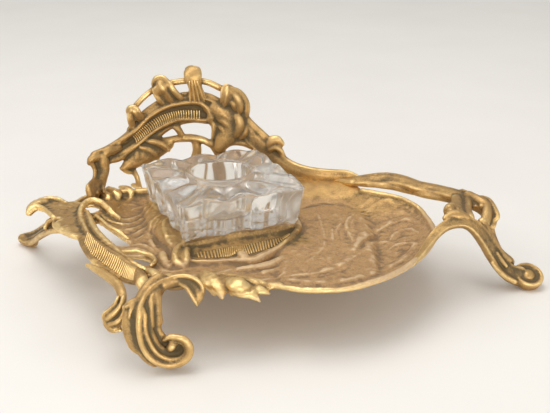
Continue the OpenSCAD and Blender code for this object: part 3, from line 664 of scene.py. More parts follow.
arm = [(-13, 0, 32.4, 2.8, 2.6), (-10.9, 0, 27.2, 4.6, 2.8), (-7.8, 0, 22.5, 5.6, 3),
    (-3.6, 0, 18.3, 5.6, 3), (1, 0, 13.2, 5, 3), (5.4, -1.6, 9.4, 4.3, 3),
    (10.4, -3.6, 6.8, 4, 2.9), (17, -5.8, 5, 3.9, 2.8), (24.4, -7.5, 4.1, 3.9, 2.8),
    (32.6, -8.4, 3.9, 3.7, 2.7), (39.4, -9.8, 4.2, 3.4, 2.2), (45, -12, 3.6, 2, 1.5)]
sweep(bm, gallery(arm), FRONT, RIBBON)
arm_curl = [(-0.5, -0.6, 17.4, 2.4, 2.2), (1.2, -0.8, 19.8, 2.8, 2.4), (4, -0.8, 20.4, 2.6, 2.2),
    (6.2, -0.8, 18.8, 1.8, 1.8)]
arm_hook = [(0.5, -1.6, 16.1, 1.6, 1.6), (3.5, -2, 17.1, 1.7, 1.7), (5.8, -2, 15.2, 1.6, 1.6),
    (7.3, -1.8, 11.7, 1.5, 1.5)]
crescent = [(-25, 0, 14.8, 1.2, 1.6), (-22, -0.4, 17.8, 1.5, 1.6), (-17.5, -0.6, 19.6, 1.9, 1.8),
    (-12.5, -0.6, 19, 1.9, 1.8), (-8.5, -0.4, 16.8, 1.6, 1.6)]
sweep_all(bm, [arm_curl, arm_hook, crescent], gallery)
print("acanthus lobes:", len(acanthus))

# %% Gallery: strut, stems and lower leaves
strut = [(-84, 0.4, 16.6, 4.8, 2.6), (-83, 0, 13.9, 4.9, 3), (-82.2, -0.8, 10.8, 4, 3),
    (-82.4, -2.6, 8, 3.5, 2.8), (-82.9, -7, 6, 3.8, 2.6), (-83.6, -13.6, 5.6, 4.8, 2.2),
    (-84.5, -19, 5.4, 5.2, 1.8)]
strut_lines = (
    [(-86.8, -1.2, 17.1, 1.2, 1.3), (-85.3, -2, 13.8, 1.1, 1.2), (-84.6, -3.4, 10.4, 1, 1.1),
     (-84.9, -8, 7.7, 0.9, 1), (-86.3, -15, 6.3, 0.9, 0.9)],
    [(-80.8, -2, 11.3, 0.9, 1), (-80.9, -4, 8.4, 0.9, 1), (-81.1, -8, 6.1, 0.9, 1),
     (-79.8, -14, 4.7, 0.9, 0.9), (-79, -18, 4, 0.8, 0.8)],
    [(-83.2, -9, 6.3, 0.6, 0.7), (-83.4, -14, 6.2, 0.9, 0.8), (-83.7, -19, 5.8, 0.7, 0.7)],
    [(-82.2, -9, 5.7, 0.6, 0.7), (-81.8, -14, 5.2, 0.9, 0.8), (-81.3, -19, 4.8, 0.7, 0.7)])
knobs = [
    [(-86.9, -0.4, 15.5, 1.6, 1.6), (-86, -1, 17.2, 2, 1.9), (-84, -1.2, 17.6, 2.2, 2),
     (-81.5, -1, 16.2, 2, 1.8)],
    [(-81, -1, 17.4, 2.2, 2), (-79.2, -2, 19.4, 2.6, 2.1), (-76.6, -2, 19.3, 2.2, 1.8),
     (-73.9, -1.4, 19.7, 1.4, 1.4)],
    [(-79.3, -0.8, 14.3, 1.5, 1.5), (-76.1, -1.4, 14.3, 1.8, 1.6), (-73, -1.2, 15, 1.8, 1.6),
     (-69.8, -0.8, 17.1, 1.6, 1.4)]]
sweep_all(bm, [strut, *strut_lines, *knobs], gallery)
stems = [
    [(-37, 0, 20, 2.2, 2), (-36.6, 0, 14, 2.4, 2.3), (-39, -1, 7, 2.6, 2.3),
     (-42, -2.5, -1.6, 3, 2.4)],
    [(-29, 0, 19, 2.2, 2), (-25.5, 0, 14.5, 3, 2.4), (-22, -0.5, 8, 3.2, 2.5),
     (-22, -2, -1.6, 3.4, 2.5)]]
left_stem = [(-70.6, -1.2, 9.5, 1.8, 1.2), (-68, -2.4, 6.7, 1.5, 1.1), (-66.2, -5, 3.8, 1.4, 1.1),
    (-65.1, -9, 1.7, 1.5, 1.2), (-64, -14, 0.2, 1.8, 1.5)]
sweep_all(bm, stems, gallery, shape=FLUTED)
sweep_all(bm, [left_stem], gallery)
leaves = [
    [(-50.1, -0.4, 18.9, 3, 2), (-54.5, -1, 17.7, 4.8, 2.2), (-59.4, -1.4, 16.2, 5.8, 2.4),
     (-64.3, -1.8, 13.8, 5.2, 2.3), (-69, -2, 11.5, 3.8, 2), (-73, -1.6, 9.1, 1.4, 1.3)],
    [(-59.7, -0.6, 21.8, 3.4, 1.8), (-63.6, -1, 18.2, 4, 1.8), (-68, -1.2, 15.3, 3.4, 1.7)],
    [(-61.4, -2.2, 21.5, 0.9, 1), (-57.5, -2.8, 20.8, 1.7, 1.3), (-53.6, -2.8, 18.8, 1.9, 1.3),
     (-50.6, -2, 15.6, 1.2, 1)],
    [(-64.2, -2.6, 18.6, 0.9, 1), (-60.6, -3, 17, 1.7, 1.3), (-57.6, -2.8, 14, 1.7, 1.2),
     (-56, -2, 11.2, 1, 0.9)],
    [(-65.9, -2.8, 16, 0.9, 1), (-66.4, -3.1, 13.7, 1.5, 1.2), (-68.4, -2.8, 11.3, 1.4, 1.1),
     (-71.4, -2.2, 8.7, 0.9, 0.9)],
    [(-73.7, -2, 9.2, 0.8, 0.9), (-71, -2.4, 7, 1.3, 1.1), (-68.3, -2.4, 5.9, 1, 1)]]
sweep_all(bm, leaves, gallery)
print("lower leaves:", len(leaves))

# %% Gallery: melt, rib and finish
crest = to_object(bm, "gallery")
melt(crest, voxel=0.5, rounds=3)
mark_hollows(crest)
bm = bmesh.new()
rib_low = gallery([(-66, -1.9, 21.2), (-59.5, -2.1, 26.2), (-52, -2.1, 30.2), (-44, -2.1, 32.6),
    (-34, -2.1, 32.6)])
rib_top = gallery([(-67.5, -1.3, 24.4), (-61.5, -1.3, 29.2), (-53.5, -1.3, 33.6),
    (-44.5, -1.3, 35.8), (-34, -1.3, 35.8)])
ribs(bm, crest, rib_low, rib_top, 32, 0.34, FRONT, 0.2)
flute_top = gallery([(-39.2, -4.6, 51.4), (-36.7, -5, 52.2), (-34.2, -4.6, 51.4)])
flute_low = gallery([(-40, -2, 41.6), (-35.4, -2.4, 40.9), (-30.8, -2, 41.4)])
ribs(bm, crest, flute_low, flute_top, 4, 0.5, FRONT, 0.15)
# The left of the gallery band and its strut are made darker.
darken_near(crest, gallery([(-84, -2, 14), (-80, -2, 16), (-70, -2, 20), (-60, -2, 27), (-50, -2, 31),
    (-38, -2, 33)]), 13, 0.55)
darken_near(crest, gallery([(-84, -4, 9), (-84, -14, 6)]), 9, 0.55)
darken_near(crest, halfway(rib_low, rib_top), 3.4, 0.82)
add_to(crest, bm)
finish_piece(crest, "stand", ["crest"], brass)

# %% [markdown]
# ## The tray
# One casting: a thin sheet that is flat at the left, lifts into a pierced plate at its tip and
# sinks into a round dish at the right. Its border carries scrolls, gadroon drops and a bead.
# The sheet is drawn inwards from its outline ring by ring, and its low leaf-work is raised
# afterwards on the finished skin, as a chaser would do it.

# %% Tray: sheet
DISH_AT, DISH_SIZE, DISH_DROP = np.array([24.0, -4.0]), np.array([47.0, 48.0]), 3.5
SHEET_T = 2.5
OUTLINE = [(-97, 22, 0), (-97.5, 8.5, 0), (-93.5, 0.5, 0), (-86, -6.5, 0), (-77, -11.5, 0),
    (-73, -21, 0), (-72.5, -31, 0), (-65, -38, 0), (-57, -44, 0), (-50, -49, 0), (-41, -49.5, 0),
    (-32, -48.5, 0), (-24, -50, -0.5), (-14, -54, -1.5), (-4, -56.5, -1.5), (3, -53, -0.5),
    (12.5, -56.5, -0.5), (22, -57, -0.5), (32, -55.5, -0.5), (44, -49.5, 0), (53.5, -41, 0),
    (62.5, -29.5, 0), (69, -18.5, 0.5), (73.5, -6, 0.5), (74, 6, 0), (73, 15, 0),
    (70.5, 25.5, 0.8), (63, 36, 1.6), (53, 42.5, 1.6), (46, 48, 1), (41, 58, 1.5), (33, 63.5, 1.5),
    (23, 60, 0.5), (8, 65.5, 0), (-8, 69, -1), (-25, 69.5, -1), (-44, 65.5, -1), (-56, 52, -0.5),
    (-68, 48, 0), (-80, 46, 0), (-88.5, 40, 0), (-92, 31, 0)]
DRAWN_FROM = np.array([-10.0, 3.0])


def floor_at(x, y):
    """Height of the tray floor at a place, or at arrays of places."""
    t = np.clip((-58 - x) / 22, 0, 1)
    away = ((x - DISH_AT[0]) / DISH_SIZE[0]) ** 2 + ((y - DISH_AT[1]) / DISH_SIZE[1]) ** 2
    return FLOOR_Z + (RIM_Z - FLOOR_Z) * t * t * (3 - 2 * t) - DISH_DROP * np.maximum(0, 1 - away)


def tab_height(x, y):
    """The tab under the gallery's arm rises like a ramp from the dish."""
    def soft(t):
        t = min(max(t, 0.0), 1.0)
        return t * t * (3 - 2 * t)

    wide = soft((x + 6) / 14) * soft((52 - x) / 8)
    return FLOOR_Z + 0.6 - 8 * (1 - wide) + 5.4 * soft((y - 38.5 + 0.01 * (x - 24) ** 2) / 20)


def sheet(bm):
    edge = smooth_path(OUTLINE, 4, closed=True)
    lift = RIM_Z + edge[:, 2] - floor_at(edge[:, 0], edge[:, 1])
    ring = first_ring(bm, len(edge), filled=False)
    for share in 1 - np.linspace(0, 0.985, 30) ** 1.35:
        if share < 1:
            ring = next_ring(bm, ring)
        for v, p, rise in zip(ring, edge, lift):
            x, y = DRAWN_FROM + (p[:2] - DRAWN_FROM) * share
            z = max(floor_at(x, y) + rise * share ** 8, tab_height(x, y))
            v.co = Vector((x, y, z - SHEET_T / 2)) * MM
    fill_ring(bm, ring)
    bmesh.ops.recalc_face_normals(bm, faces=bm.faces)
    bmesh.ops.solidify(bm, geom=bm.faces[:], thickness=SHEET_T / 2 * MM)
    for v in bm.verts:
        v.co.z += SHEET_T / 4 * MM


def above_rim(points):
    return [(x, y, RIM_Z + z, *size) for x, y, z, *size in points]


bm = bmesh.new()
sheet(bm)
tray = to_object(bm, "tray_casting")
print("tray sheet:", len(tray.data.polygons), "faces")

# %% Tray: pierced openings of the left plate
def plank(bm, corners, low, high):
    """A flat slab between two heights with the given corners."""
    ring = first_ring(bm, len(corners))
    for v, (x, y) in zip(ring, corners):
        v.co = Vector((x, y, low)) * MM
    made = bmesh.ops.extrude_face_region(bm, geom=list(ring[0].link_faces))["geom"]
    bmesh.ops.translate(bm, vec=(0, 0, (high - low) * MM),
                        verts=[g for g in made if isinstance(g, bmesh.types.BMVert)])


openings = [
    [(-87, 23.1), (-86.6, 27.7), (-83.7, 29.2), (-80.3, 27.4), (-78.9, 24.9), (-80.2, 21.7),
     (-83.4, 19.9)],
    [(-77.9, 9.4), (-75.3, 8.3), (-71.7, 5.1), (-66.6, 0.7), (-61.2, -4.2), (-61.1, -7.6),
     (-64.5, -9.2), (-68, -9.7), (-70.8, -7.3), (-74, -1.5)],
    [(-61.9, -20.5), (-56.7, -18.6), (-50.3, -22), (-48, -25), (-50.6, -26.4), (-55.5, -26.4),
     (-59.6, -24.5)]]
for corners in openings:
    bm = bmesh.new()
    plank(bm, smooth_path(corners, 2, closed=True), 15, 40)
    cut(tray, to_object(bm, "cutter"))
print("openings:", len(openings))

# %% Tray: scrolls of the left plate
bm = bmesh.new()
bm.from_mesh(tray.data)
plate_outline = [(-86.5, 29), (-92, 31.5), (-97, 29.5), (-101, 31.8), (-105, 32.8), (-108.6, 30.6),
    (-110, 27.2), (-108, 23.8), (-104, 21.4), (-100.8, 16.8), (-97.4, 11.8), (-93.8, 9.2),
    (-95.8, 4.8), (-89.8, -3.8), (-85, -8.8), (-80, -10.6), (-76, -16), (-74.5, -12), (-78, -3),
    (-82, 7), (-85, 17)]
plank(bm, plate_outline, RIM_Z - 1.2, RIM_Z + 0.9)
tilted = (-0.30, -0.34, 0.89)
BROAD = outline(lambda u: 0.55 * dome(u) ** 0.5 + 0.3 * bulge(u, -0.86, 0.12), half=16)
plate = [
    ([(-82.2, 2, 0.4, 1.4, 1.5), (-84.6, 10.1, 0.9, 1.5, 1.5), (-86, 17.7, 1.4, 1.5, 1.6),
      (-85.4, 24.9, 2, 1.6, 1.7), (-82.4, 28.2, 2.2, 1.6, 1.7), (-78.5, 26.9, 1.8, 1.5, 1.6),
      (-75.3, 23.2, 0.8, 1.4, 1.4), (-72.1, 19, -0.6, 1.2, 1.2),
      (-68.2, 16.8, -2.2, 0.8, 0.9)], UP, ROUND),
    ([(-85.3, 17.5, 0.8, 0.9, 1), (-82, 2.9, 1, 1.1, 1.2), (-77.4, -8.9, 1.1, 1.15, 1.3),
      (-72.1, -18, 1.1, 1.15, 1.3), (-66, -26.4, 1, 1.15, 1.3), (-60.3, -34, 0.9, 1.15, 1.3),
      (-55.2, -39.6, 0.7, 1.1, 1.2), (-50.9, -43, 0.4, 1.1, 1.2)], UP, ROUND),
    ([(-83.4, 18, 0.6, 1.2, 1.3), (-79.2, 5.6, 0.8, 1.6, 1.6), (-74.8, -5.2, 0.8, 1.7, 1.7),
      (-70.1, -13.9, 0.7, 1.8, 1.7), (-65.4, -20.9, 0.3, 1.9, 1.7), (-59.9, -29.1, -0.2, 1.9, 1.6),
      (-54.8, -34.4, -0.8, 1.6, 1.5), (-49.7, -38, -1.4, 1.2, 1.2)], UP, ROUND),
    ([(-78.2, 12.7, 0.8, 0.9, 1), (-74.9, 8, 0.6, 1, 1.1), (-70.5, 1.8, 0.2, 1, 1.1),
      (-65.5, -2.3, -0.8, 1, 1.1), (-60.9, -6.8, -1.8, 0.8, 0.9)], UP, ROUND),
    ([(-62, -21.6, -1.6, 0.7, 0.8), (-56.5, -19.5, -2.2, 0.9, 1), (-50, -21.1, -3, 0.9, 1),
      (-46.8, -26.2, -3.2, 0.9, 1), (-47.7, -32.1, -2.6, 0.8, 0.9)], UP, ROUND),
    ([(-83.4, 1.9, -0.5, 2, 1.6), (-78.2, -11.2, -0.5, 3.4, 1.8), (-72.7, -21.3, -0.6, 4.4, 1.9),
      (-66.3, -30.4, -0.7, 4.9, 2), (-60.2, -37.9, -0.8, 4.9, 2), (-54.4, -44.1, -0.9, 4.3, 2),
      (-50.8, -47.4, -0.9, 3.4, 1.9), (-48.6, -50, -1.2, 1.4, 1.2)], tilted, BROAD),
    ([(-79.9, -11.4, -0.9, 1, 1.1), (-76.2, -14.1, -0.9, 1, 1.1), (-74.4, -21.6, -1.2, 1, 1.1),
      (-71.9, -29.1, -1.4, 1, 1.1), (-67.1, -33.4, -1.6, 1, 1.1), (-61.6, -39.3, -1.9, 1, 1.1),
      (-56.8, -44.5, -2, 1, 1.1), (-51.9, -48.4, -2, 1, 1.1)], UP, ROUND),
    ([(-95.5, 29.4, 0.6, 1, 1), (-100, 32.6, 1.2, 1.2, 1.1), (-104.6, 33.4, 1.4, 1.3, 1.2),
      (-108.2, 31, 1, 1.3, 1.3)], UP, ROUND),
    ([(-107.4, 25, 0.9, 1, 1.1), (-104, 21.8, 0.9, 0.9, 1), (-100.8, 16.8, 0.7, 0.9, 1),
      (-97.6, 12.2, 0.5, 0.9, 1)], UP, ROUND),
    ([(-105, 31.2, 0.4, 1.6, 1.4), (-108.4, 28.8, 0.5, 3, 1.8), (-110.4, 25.2, -0.4, 3, 2),
      (-111.4, 22.6, -1.8, 1.8, 1.6)], UP, ROUND)]
for path, face, shape in plate:
    sweep(bm, above_rim(path), face, shape)
back_edge = [(-91.5, 32, -0.6, 1.3, 1.2), (-88, 39.6, -0.8, 1.3, 1.2), (-80, 45.4, -0.8, 1.4, 1.2),
    (-74, 46.6, -0.2, 1.5, 1.2), (-68, 47.6, -0.8, 1.3, 1.2), (-62, 49.4, -0.6, 1.5, 1.2),
    (-56, 51.6, -1.4, 1.3, 1.2), (-49, 58.6, -1.4, 1.3, 1.2), (-43, 65, -1.8, 1.3, 1.2)]
back_lobes = (
    [(-84.3, 47.8, -0.2, 1.6, 1.1), (-80.6, 43.7, 0.3, 2.2, 1.2), (-77.9, 39.4, 0, 1.8, 1),
     (-77.6, 36.9, -1.4, 0.9, 0.7)],
    [(-79.2, 49.5, 0.2, 1.8, 1.2), (-75.5, 45.4, 0.5, 2.4, 1.3), (-73, 41.8, 0, 2, 1.1),
     (-72.8, 39.8, -1.8, 1, 0.8)],
    [(-73.2, 52.3, 0, 1.7, 1.2), (-69.8, 49.5, 0.2, 2.2, 1.2), (-67.4, 46.4, -0.4, 1.8, 1),
     (-67.4, 44.3, -2.2, 0.9, 0.7)],
    [(-67.9, 56.2, -0.4, 1.6, 1.1), (-65, 53.3, -0.4, 2, 1.1), (-63.2, 50.9, -1.6, 1.4, 0.9)])
sweep_all(bm, [back_edge, *back_lobes], above_rim, UP)
print("plate scrolls:", len(plate) + len(back_lobes) + 1)

# %% Tray: knobs, drops and boss of the front border
knobs = [
    [(-55.4, -39.4, -0.6, 2.6, 1.9), (-52.6, -43.2, -0.2, 2.9, 2.2), (-50, -47.4, -0.4, 2.9, 2.3),
     (-48.4, -51.4, -1.8, 2.5, 2.1), (-48, -53.4, -3, 1.6, 1.4)],
    [(-47.6, -40.6, -1.4, 1.7, 1.6), (-45.2, -43.6, -0.8, 2.2, 1.9), (-43.2, -47, -1.2, 2.1, 1.9),
     (-42.6, -50, -2.6, 1.2, 1.3)],
    [(-41.6, -43.6, -2, 1.4, 1.4), (-39, -45.4, -1.4, 1.8, 1.6), (-36.8, -48.4, -1.4, 1.6, 1.5),
     (-36.2, -51, -2.4, 1, 1.1)]]
drops = [
    [(-25.8, -45.7, -1.6, 1.6, 1.4), (-23.5, -50, -1.4, 2.2, 1.7), (-21.6, -52.8, -2.4, 2, 1.6),
     (-20.6, -54.7, -4, 0.9, 1)],
    [(-25.2, -43, -1.6, 2.8, 1.6), (-22.1, -47.8, -1, 3.4, 2), (-19.5, -52.2, -1.4, 3.3, 2.2),
     (-18, -55.1, -2.8, 2.4, 2), (-17.3, -57.3, -4.4, 0.8, 0.9)],
    [(-18.7, -46.2, -1.8, 2.4, 1.6), (-16.1, -50.5, -1.4, 2.6, 1.8),
     (-14.4, -53.3, -2.6, 1.8, 1.5), (-13.6, -55.6, -4, 0.7, 0.8)],
    [(-15.8, -48.7, -1.4, 2.4, 1.6), (-13, -53, -0.4, 3.6, 2.4), (-10.5, -55.1, -0.2, 4, 2.7),
     (-8.1, -55.4, -0.8, 3, 2.1), (-6.4, -54.5, -1.8, 1.4, 1.2)],
    [(-16.5, -51.1, -2.4, 1.1, 1.1), (-13.6, -55.3, -2.4, 1.4, 1.2), (-10, -58.3, -2.4, 1.5, 1.2),
     (-6.5, -59, -2.2, 1.4, 1.2), (-4.3, -56.5, -1.8, 1.2, 1.1)],
    [(-9.7, -54.9, -2.6, 2.6, 1.5), (-6.6, -57.8, -2.6, 2.4, 1.4), (-4, -59.5, -3.4, 1.3, 1.1),
     (-2.9, -60.2, -4.4, 0.5, 0.6)],
    [(-7.5, -52.8, -1.8, 3.2, 1.6), (-3.9, -54.8, -1.8, 3.2, 1.5), (-1.2, -55.7, -2.4, 1.8, 1.2),
     (0.9, -55.6, -3.4, 0.6, 0.7)],
    [(-12.3, -47.4, -1.2, 2.4, 1.6), (-7.9, -50.3, -0.8, 2.8, 1.7), (-3.6, -51.3, -1, 2.6, 1.5),
     (-0.5, -51.8, -1.6, 1.5, 1.1), (1.8, -52.3, -2.4, 0.6, 0.7)],
    [(-18, -43.9, -1.6, 1.6, 1.3), (-13.9, -46.2, -1.2, 2, 1.5), (-9.5, -48.1, -1, 1.8, 1.3),
     (-6, -48.3, -1.2, 1.2, 1)]]
border = [(-44, -46.6, -2.2, 1.6, 1.4), (-36, -45.4, -2.1, 1.8, 1.4), (-28, -44.6, -2.4, 2, 1.4),
    (-19, -45.4, -2.9, 2, 1.4), (-10, -48, -3.2, 1.8, 1.4), (-1, -51, -2.4, 1.6, 1.4),
    (5, -52.6, -1.2, 1.4, 1.3)]
sweep_all(bm, [*knobs, *drops, border], above_rim, UP)
dish_edge = [(x * 0.99, y * 0.99, z - 0.95, 1.35, 1.1) for x, y, z in OUTLINE[15:30]]
sweep(bm, above_rim(dish_edge), UP, per=6)
print("border scrolls:", len(knobs) + len(drops) + 1)

# %% Tray: seat with its hollow, ribbed front
SEAT_HALF, SEAT_TOP, SEAT_FOOT = 27.3, 27.85, 22.4


def by_glass(points):
    """Points beside the glass, whose middle is the origin and whose sides are square on."""
    c, s = math.cos(GLASS_TURN), math.sin(GLASS_TURN)
    return [(GLASS_AT[0] + x * c - y * s, GLASS_AT[1] + x * s + y * c, *rest)
            for x, y, *rest in points]


turn = Matrix.Rotation(GLASS_TURN, 3, "Z")
for v in bmesh.ops.create_cube(bm, size=1)["verts"]:
    p = turn @ Vector((math.copysign(SEAT_HALF, v.co.x), math.copysign(SEAT_HALF, v.co.y), 0))
    height = SEAT_TOP if v.co.z > 0 else SEAT_FOOT
    v.co = Vector((p.x + GLASS_AT[0], p.y + GLASS_AT[1], height)) * MM


def seat_cove(u):
    """Steep wall under the glass, a low floor and a rising lip; u = 1 is the outer edge."""
    return float(np.interp(u, (-1, -0.97, -0.93, -0.84, -0.7, 0, 0.45, 0.7, 0.88, 1),
                           (0.2, 1.2, 1.1, 0.30, 0.12, 0.05, 0.14, 0.4, 0.62, 0)))


front_of_seat = (0.068, -0.167, 0.98)
cove_path = [(-27, -32.4, 24.9, 5.2, 2.4), (-20, -34.6, 24.9, 7.6, 2.4),
    (-13.5, -36.5, 24.9, 9.5, 2.4), (-6, -37.6, 24.9, 10.6, 2.4), (0, -37.8, 24.9, 10.7, 2.4),
    (10.8, -35, 24.9, 7.9, 2.4), (17.6, -32, 24.9, 5, 2.4), (24, -28.6, 24.9, 2.5, 2)]
sweep(bm, by_glass(cove_path), front_of_seat, outline(seat_cove, half=24))
lip = [(-28.9, -40.4, 25.4, 0.7, 0.8), (-22.2, -43.9, 25.5, 0.7, 0.8),
    (-13.9, -46.1, 25.5, 0.7, 0.8), (-6.7, -48, 25.2, 0.7, 0.8), (-1.1, -48.2, 25.2, 0.7, 0.8),
    (10.3, -42.7, 25.5, 0.8, 0.9), (17.6, -37, 25.9, 1, 1), (23.6, -31.8, 26.3, 1.3, 1.3),
    (27.8, -26, 26.6, 1.4, 1.4), (29.6, -16, 26.4, 1.4, 1.4), (29.8, -4, 25.6, 1.2, 1.2),
    (29.4, 8, 24.6, 1, 1)]
skirt = [(x * 0.97, y * 0.97, 23.3, 2.6, 2.4) for x, y, *_ in lip]
lip_curl = [(-8, -38.6, 25.2, 0.9, 0.8), (-6.4, -41, 25.6, 1.7, 1.1), (-6.2, -44, 25.7, 2.4, 1.2),
    (-6.6, -47.4, 25.3, 1.8, 1.1)]
collar = [
    [(-26, -25.6, 26.2, 1.5, 1.2), (-29.8, -28, 26.5, 1.6, 1.5), (-33, -34.6, 26.6, 1.7, 1.6),
     (-34.3, -40.4, 26, 1.7, 1.5), (-32.4, -43.4, 25, 1.4, 1.2)],
    [(-26.4, -30.4, 26.4, 1.2, 1.2), (-28.2, -35, 26.6, 1.5, 1.5), (-30, -40, 26, 1.5, 1.4),
     (-31.4, -43, 25, 1.2, 1.2)],
    [(-28.4, -29.6, 25.8, 1.1, 1), (-30.6, -35, 26.3, 1.3, 1.1), (-32.2, -40.8, 25.7, 1.1, 1)],
    [(-36.6, -27.6, 25, 1.6, 1), (-38, -34, 25.3, 1.9, 1.1), (-37.6, -40.6, 24.9, 1.4, 1)]]
sweep_all(bm, [lip, skirt, lip_curl, *collar], by_glass, UP)
left_ramp = [(-28.5, -26, 25.4, 3, 1.8), (-30, -14, 25.4, 4.6, 2), (-30.4, 2, 25.4, 4.8, 2),
    (-29.4, 16, 25.2, 4.2, 1.9), (-28, 26, 25, 3, 1.6)]
sweep(bm, by_glass(left_ramp), (-0.36, -0.15, 0.92))
shell_folds = [
    [(11.6, 20, 23.4, 2.2, 1.4), (13.6, 12.9, 23.1, 2.8, 2), (15, 0.9, 23, 3.1, 2.2),
     (11.8, -11, 22.9, 3.1, 2.2), (7.4, -18.2, 23, 2.9, 2), (0, -25, 23.3, 2.5, 1.8),
     (-6, -28.4, 23.8, 1.9, 1.4), (-12, -30.4, 24.2, 1.2, 1.1)],
    [(15.6, 27.6, 22, 1.8, 1.2), (19.4, 15, 21.6, 2.2, 1.4), (20.8, -2, 21.5, 2.5, 1.5),
     (19.4, -11.6, 21.6, 2.5, 1.5), (15.6, -18.4, 21.9, 2.3, 1.5), (8.4, -25.8, 22.5, 2, 1.4),
     (-1.6, -32.4, 23.5, 1.4, 1.1)],
    [(14.6, -11.4, 22.4, 1.4, 1.2), (18.4, -11.2, 22.7, 2.2, 1.4), (20.6, -14.4, 22.3, 2.2, 1.3),
     (17.4, -18.6, 22, 1.4, 1.1)]]
sweep_all(bm, shell_folds, face=UP)
tray.data.clear_geometry()
bm.to_mesh(tray.data)
bm.free()
melt(tray, voxel=0.62, rounds=2)
print("tray skin:", len(tray.data.polygons), "faces")

# %% Chasing: low relief raised on a finished skin
def grain(co, scale, where):
    """Smooth random values, about -0.5 to 0.5, at the points that `where` picks."""
    out = np.zeros(len(co))
    for i in np.flatnonzero(where):
        out[i] = noise.noise(Vector(co[i]) / MM * scale)
    return out


def rough_cast(piece):
    """The slightly uneven skin that a sand mould leaves on the upper side."""
    co, normal = read_points(piece), read_points(piece, "normal")
    open_top = np.clip((normal[:, 2] - 0.45) / 0.4, 0, 1) * (co[:, 2] / MM > 21.0)
    rise = 0.34 * grain(co, 0.16, open_top > 0) + 0.26 * grain(co, 0.5, open_top > 0)
    tab = np.clip((co[:, 1] / MM - 27) / 6, 0, 1) * np.clip((co[:, 0] / MM - 2) / 8, 0, 1)
    co[:, 2] += rise * open_top * (1 - 0.8 * tab) * MM
    move_points(piece, co)


def chase(piece, lines, above):
    """Raises lines (x, y, width on the left, width on the right, height), all in mm.

    A negative height sinks the line. The left is the left hand of someone who walks the line.
    Only the skin that faces up and is higher than `above` is worked.
    """
    co, normal = read_points(piece), read_points(piece, "normal")
    x, y, up = co[:, 0] / MM, co[:, 1] / MM, normal[:, 2]
    open_top = np.clip((up - 0.35) / 0.4, 0, 1) * (co[:, 2] / MM > above)
    raised, sunk = np.zeros(len(co)), np.zeros(len(co))
    broken = 0.85 + 0.9 * grain(co, 0.22, open_top > 0)
    for line in lines:
        path = smooth_path(line, 8)
        reach = path[:, 2:4].max()
        low, high = path[:, :2].min(0) - reach, path[:, :2].max(0) + reach
        near = np.flatnonzero((open_top > 0) & (x > low[0]) & (x < high[0])
                              & (y > low[1]) & (y < high[1]))
        if not len(near):
            continue
        best, width, height = np.full(len(near), 1e9), np.ones(len(near)), np.zeros(len(near))
        for a, b in zip(path, path[1:]):
            d = b[:2] - a[:2]
            px, py = x[near] - a[0], y[near] - a[1]
            t = np.clip((px * d[0] + py * d[1]) / max(d @ d, 1e-9), 0, 1)
            away = np.hypot(px - t * d[0], py - t * d[1])
            left = d[0] * py - d[1] * px > 0
            size = a + (b - a) * t[:, None]
            closer = away < best
            best = np.where(closer, away, best)
            width = np.where(closer, np.where(left, size[:, 2], size[:, 3]), width)
            height = np.where(closer, size[:, 4], height)
        share = np.clip(1 - best / np.maximum(width, 0.1), 0, 1)
        bump = height * share * share * (3 - 2 * share) * broken[near]
        raised[near] = np.maximum(raised[near], bump)
        sunk[near] = np.minimum(sunk[near], bump)
    co[:, 2] += (raised + sunk) * open_top * MM
    move_points(piece, co)


def fold(points, left, right, height, fade=0.3):
    """A chased line that swells in its middle and thins towards its ends."""
    n = len(points) - 1
    out = []
    for i, (x, y) in enumerate(points):
        full = fade + (1 - fade) * math.sin(math.pi * (0.10 + 0.8 * i / n))
        out.append((x, y, left * full, right * full, height * full))
    return out


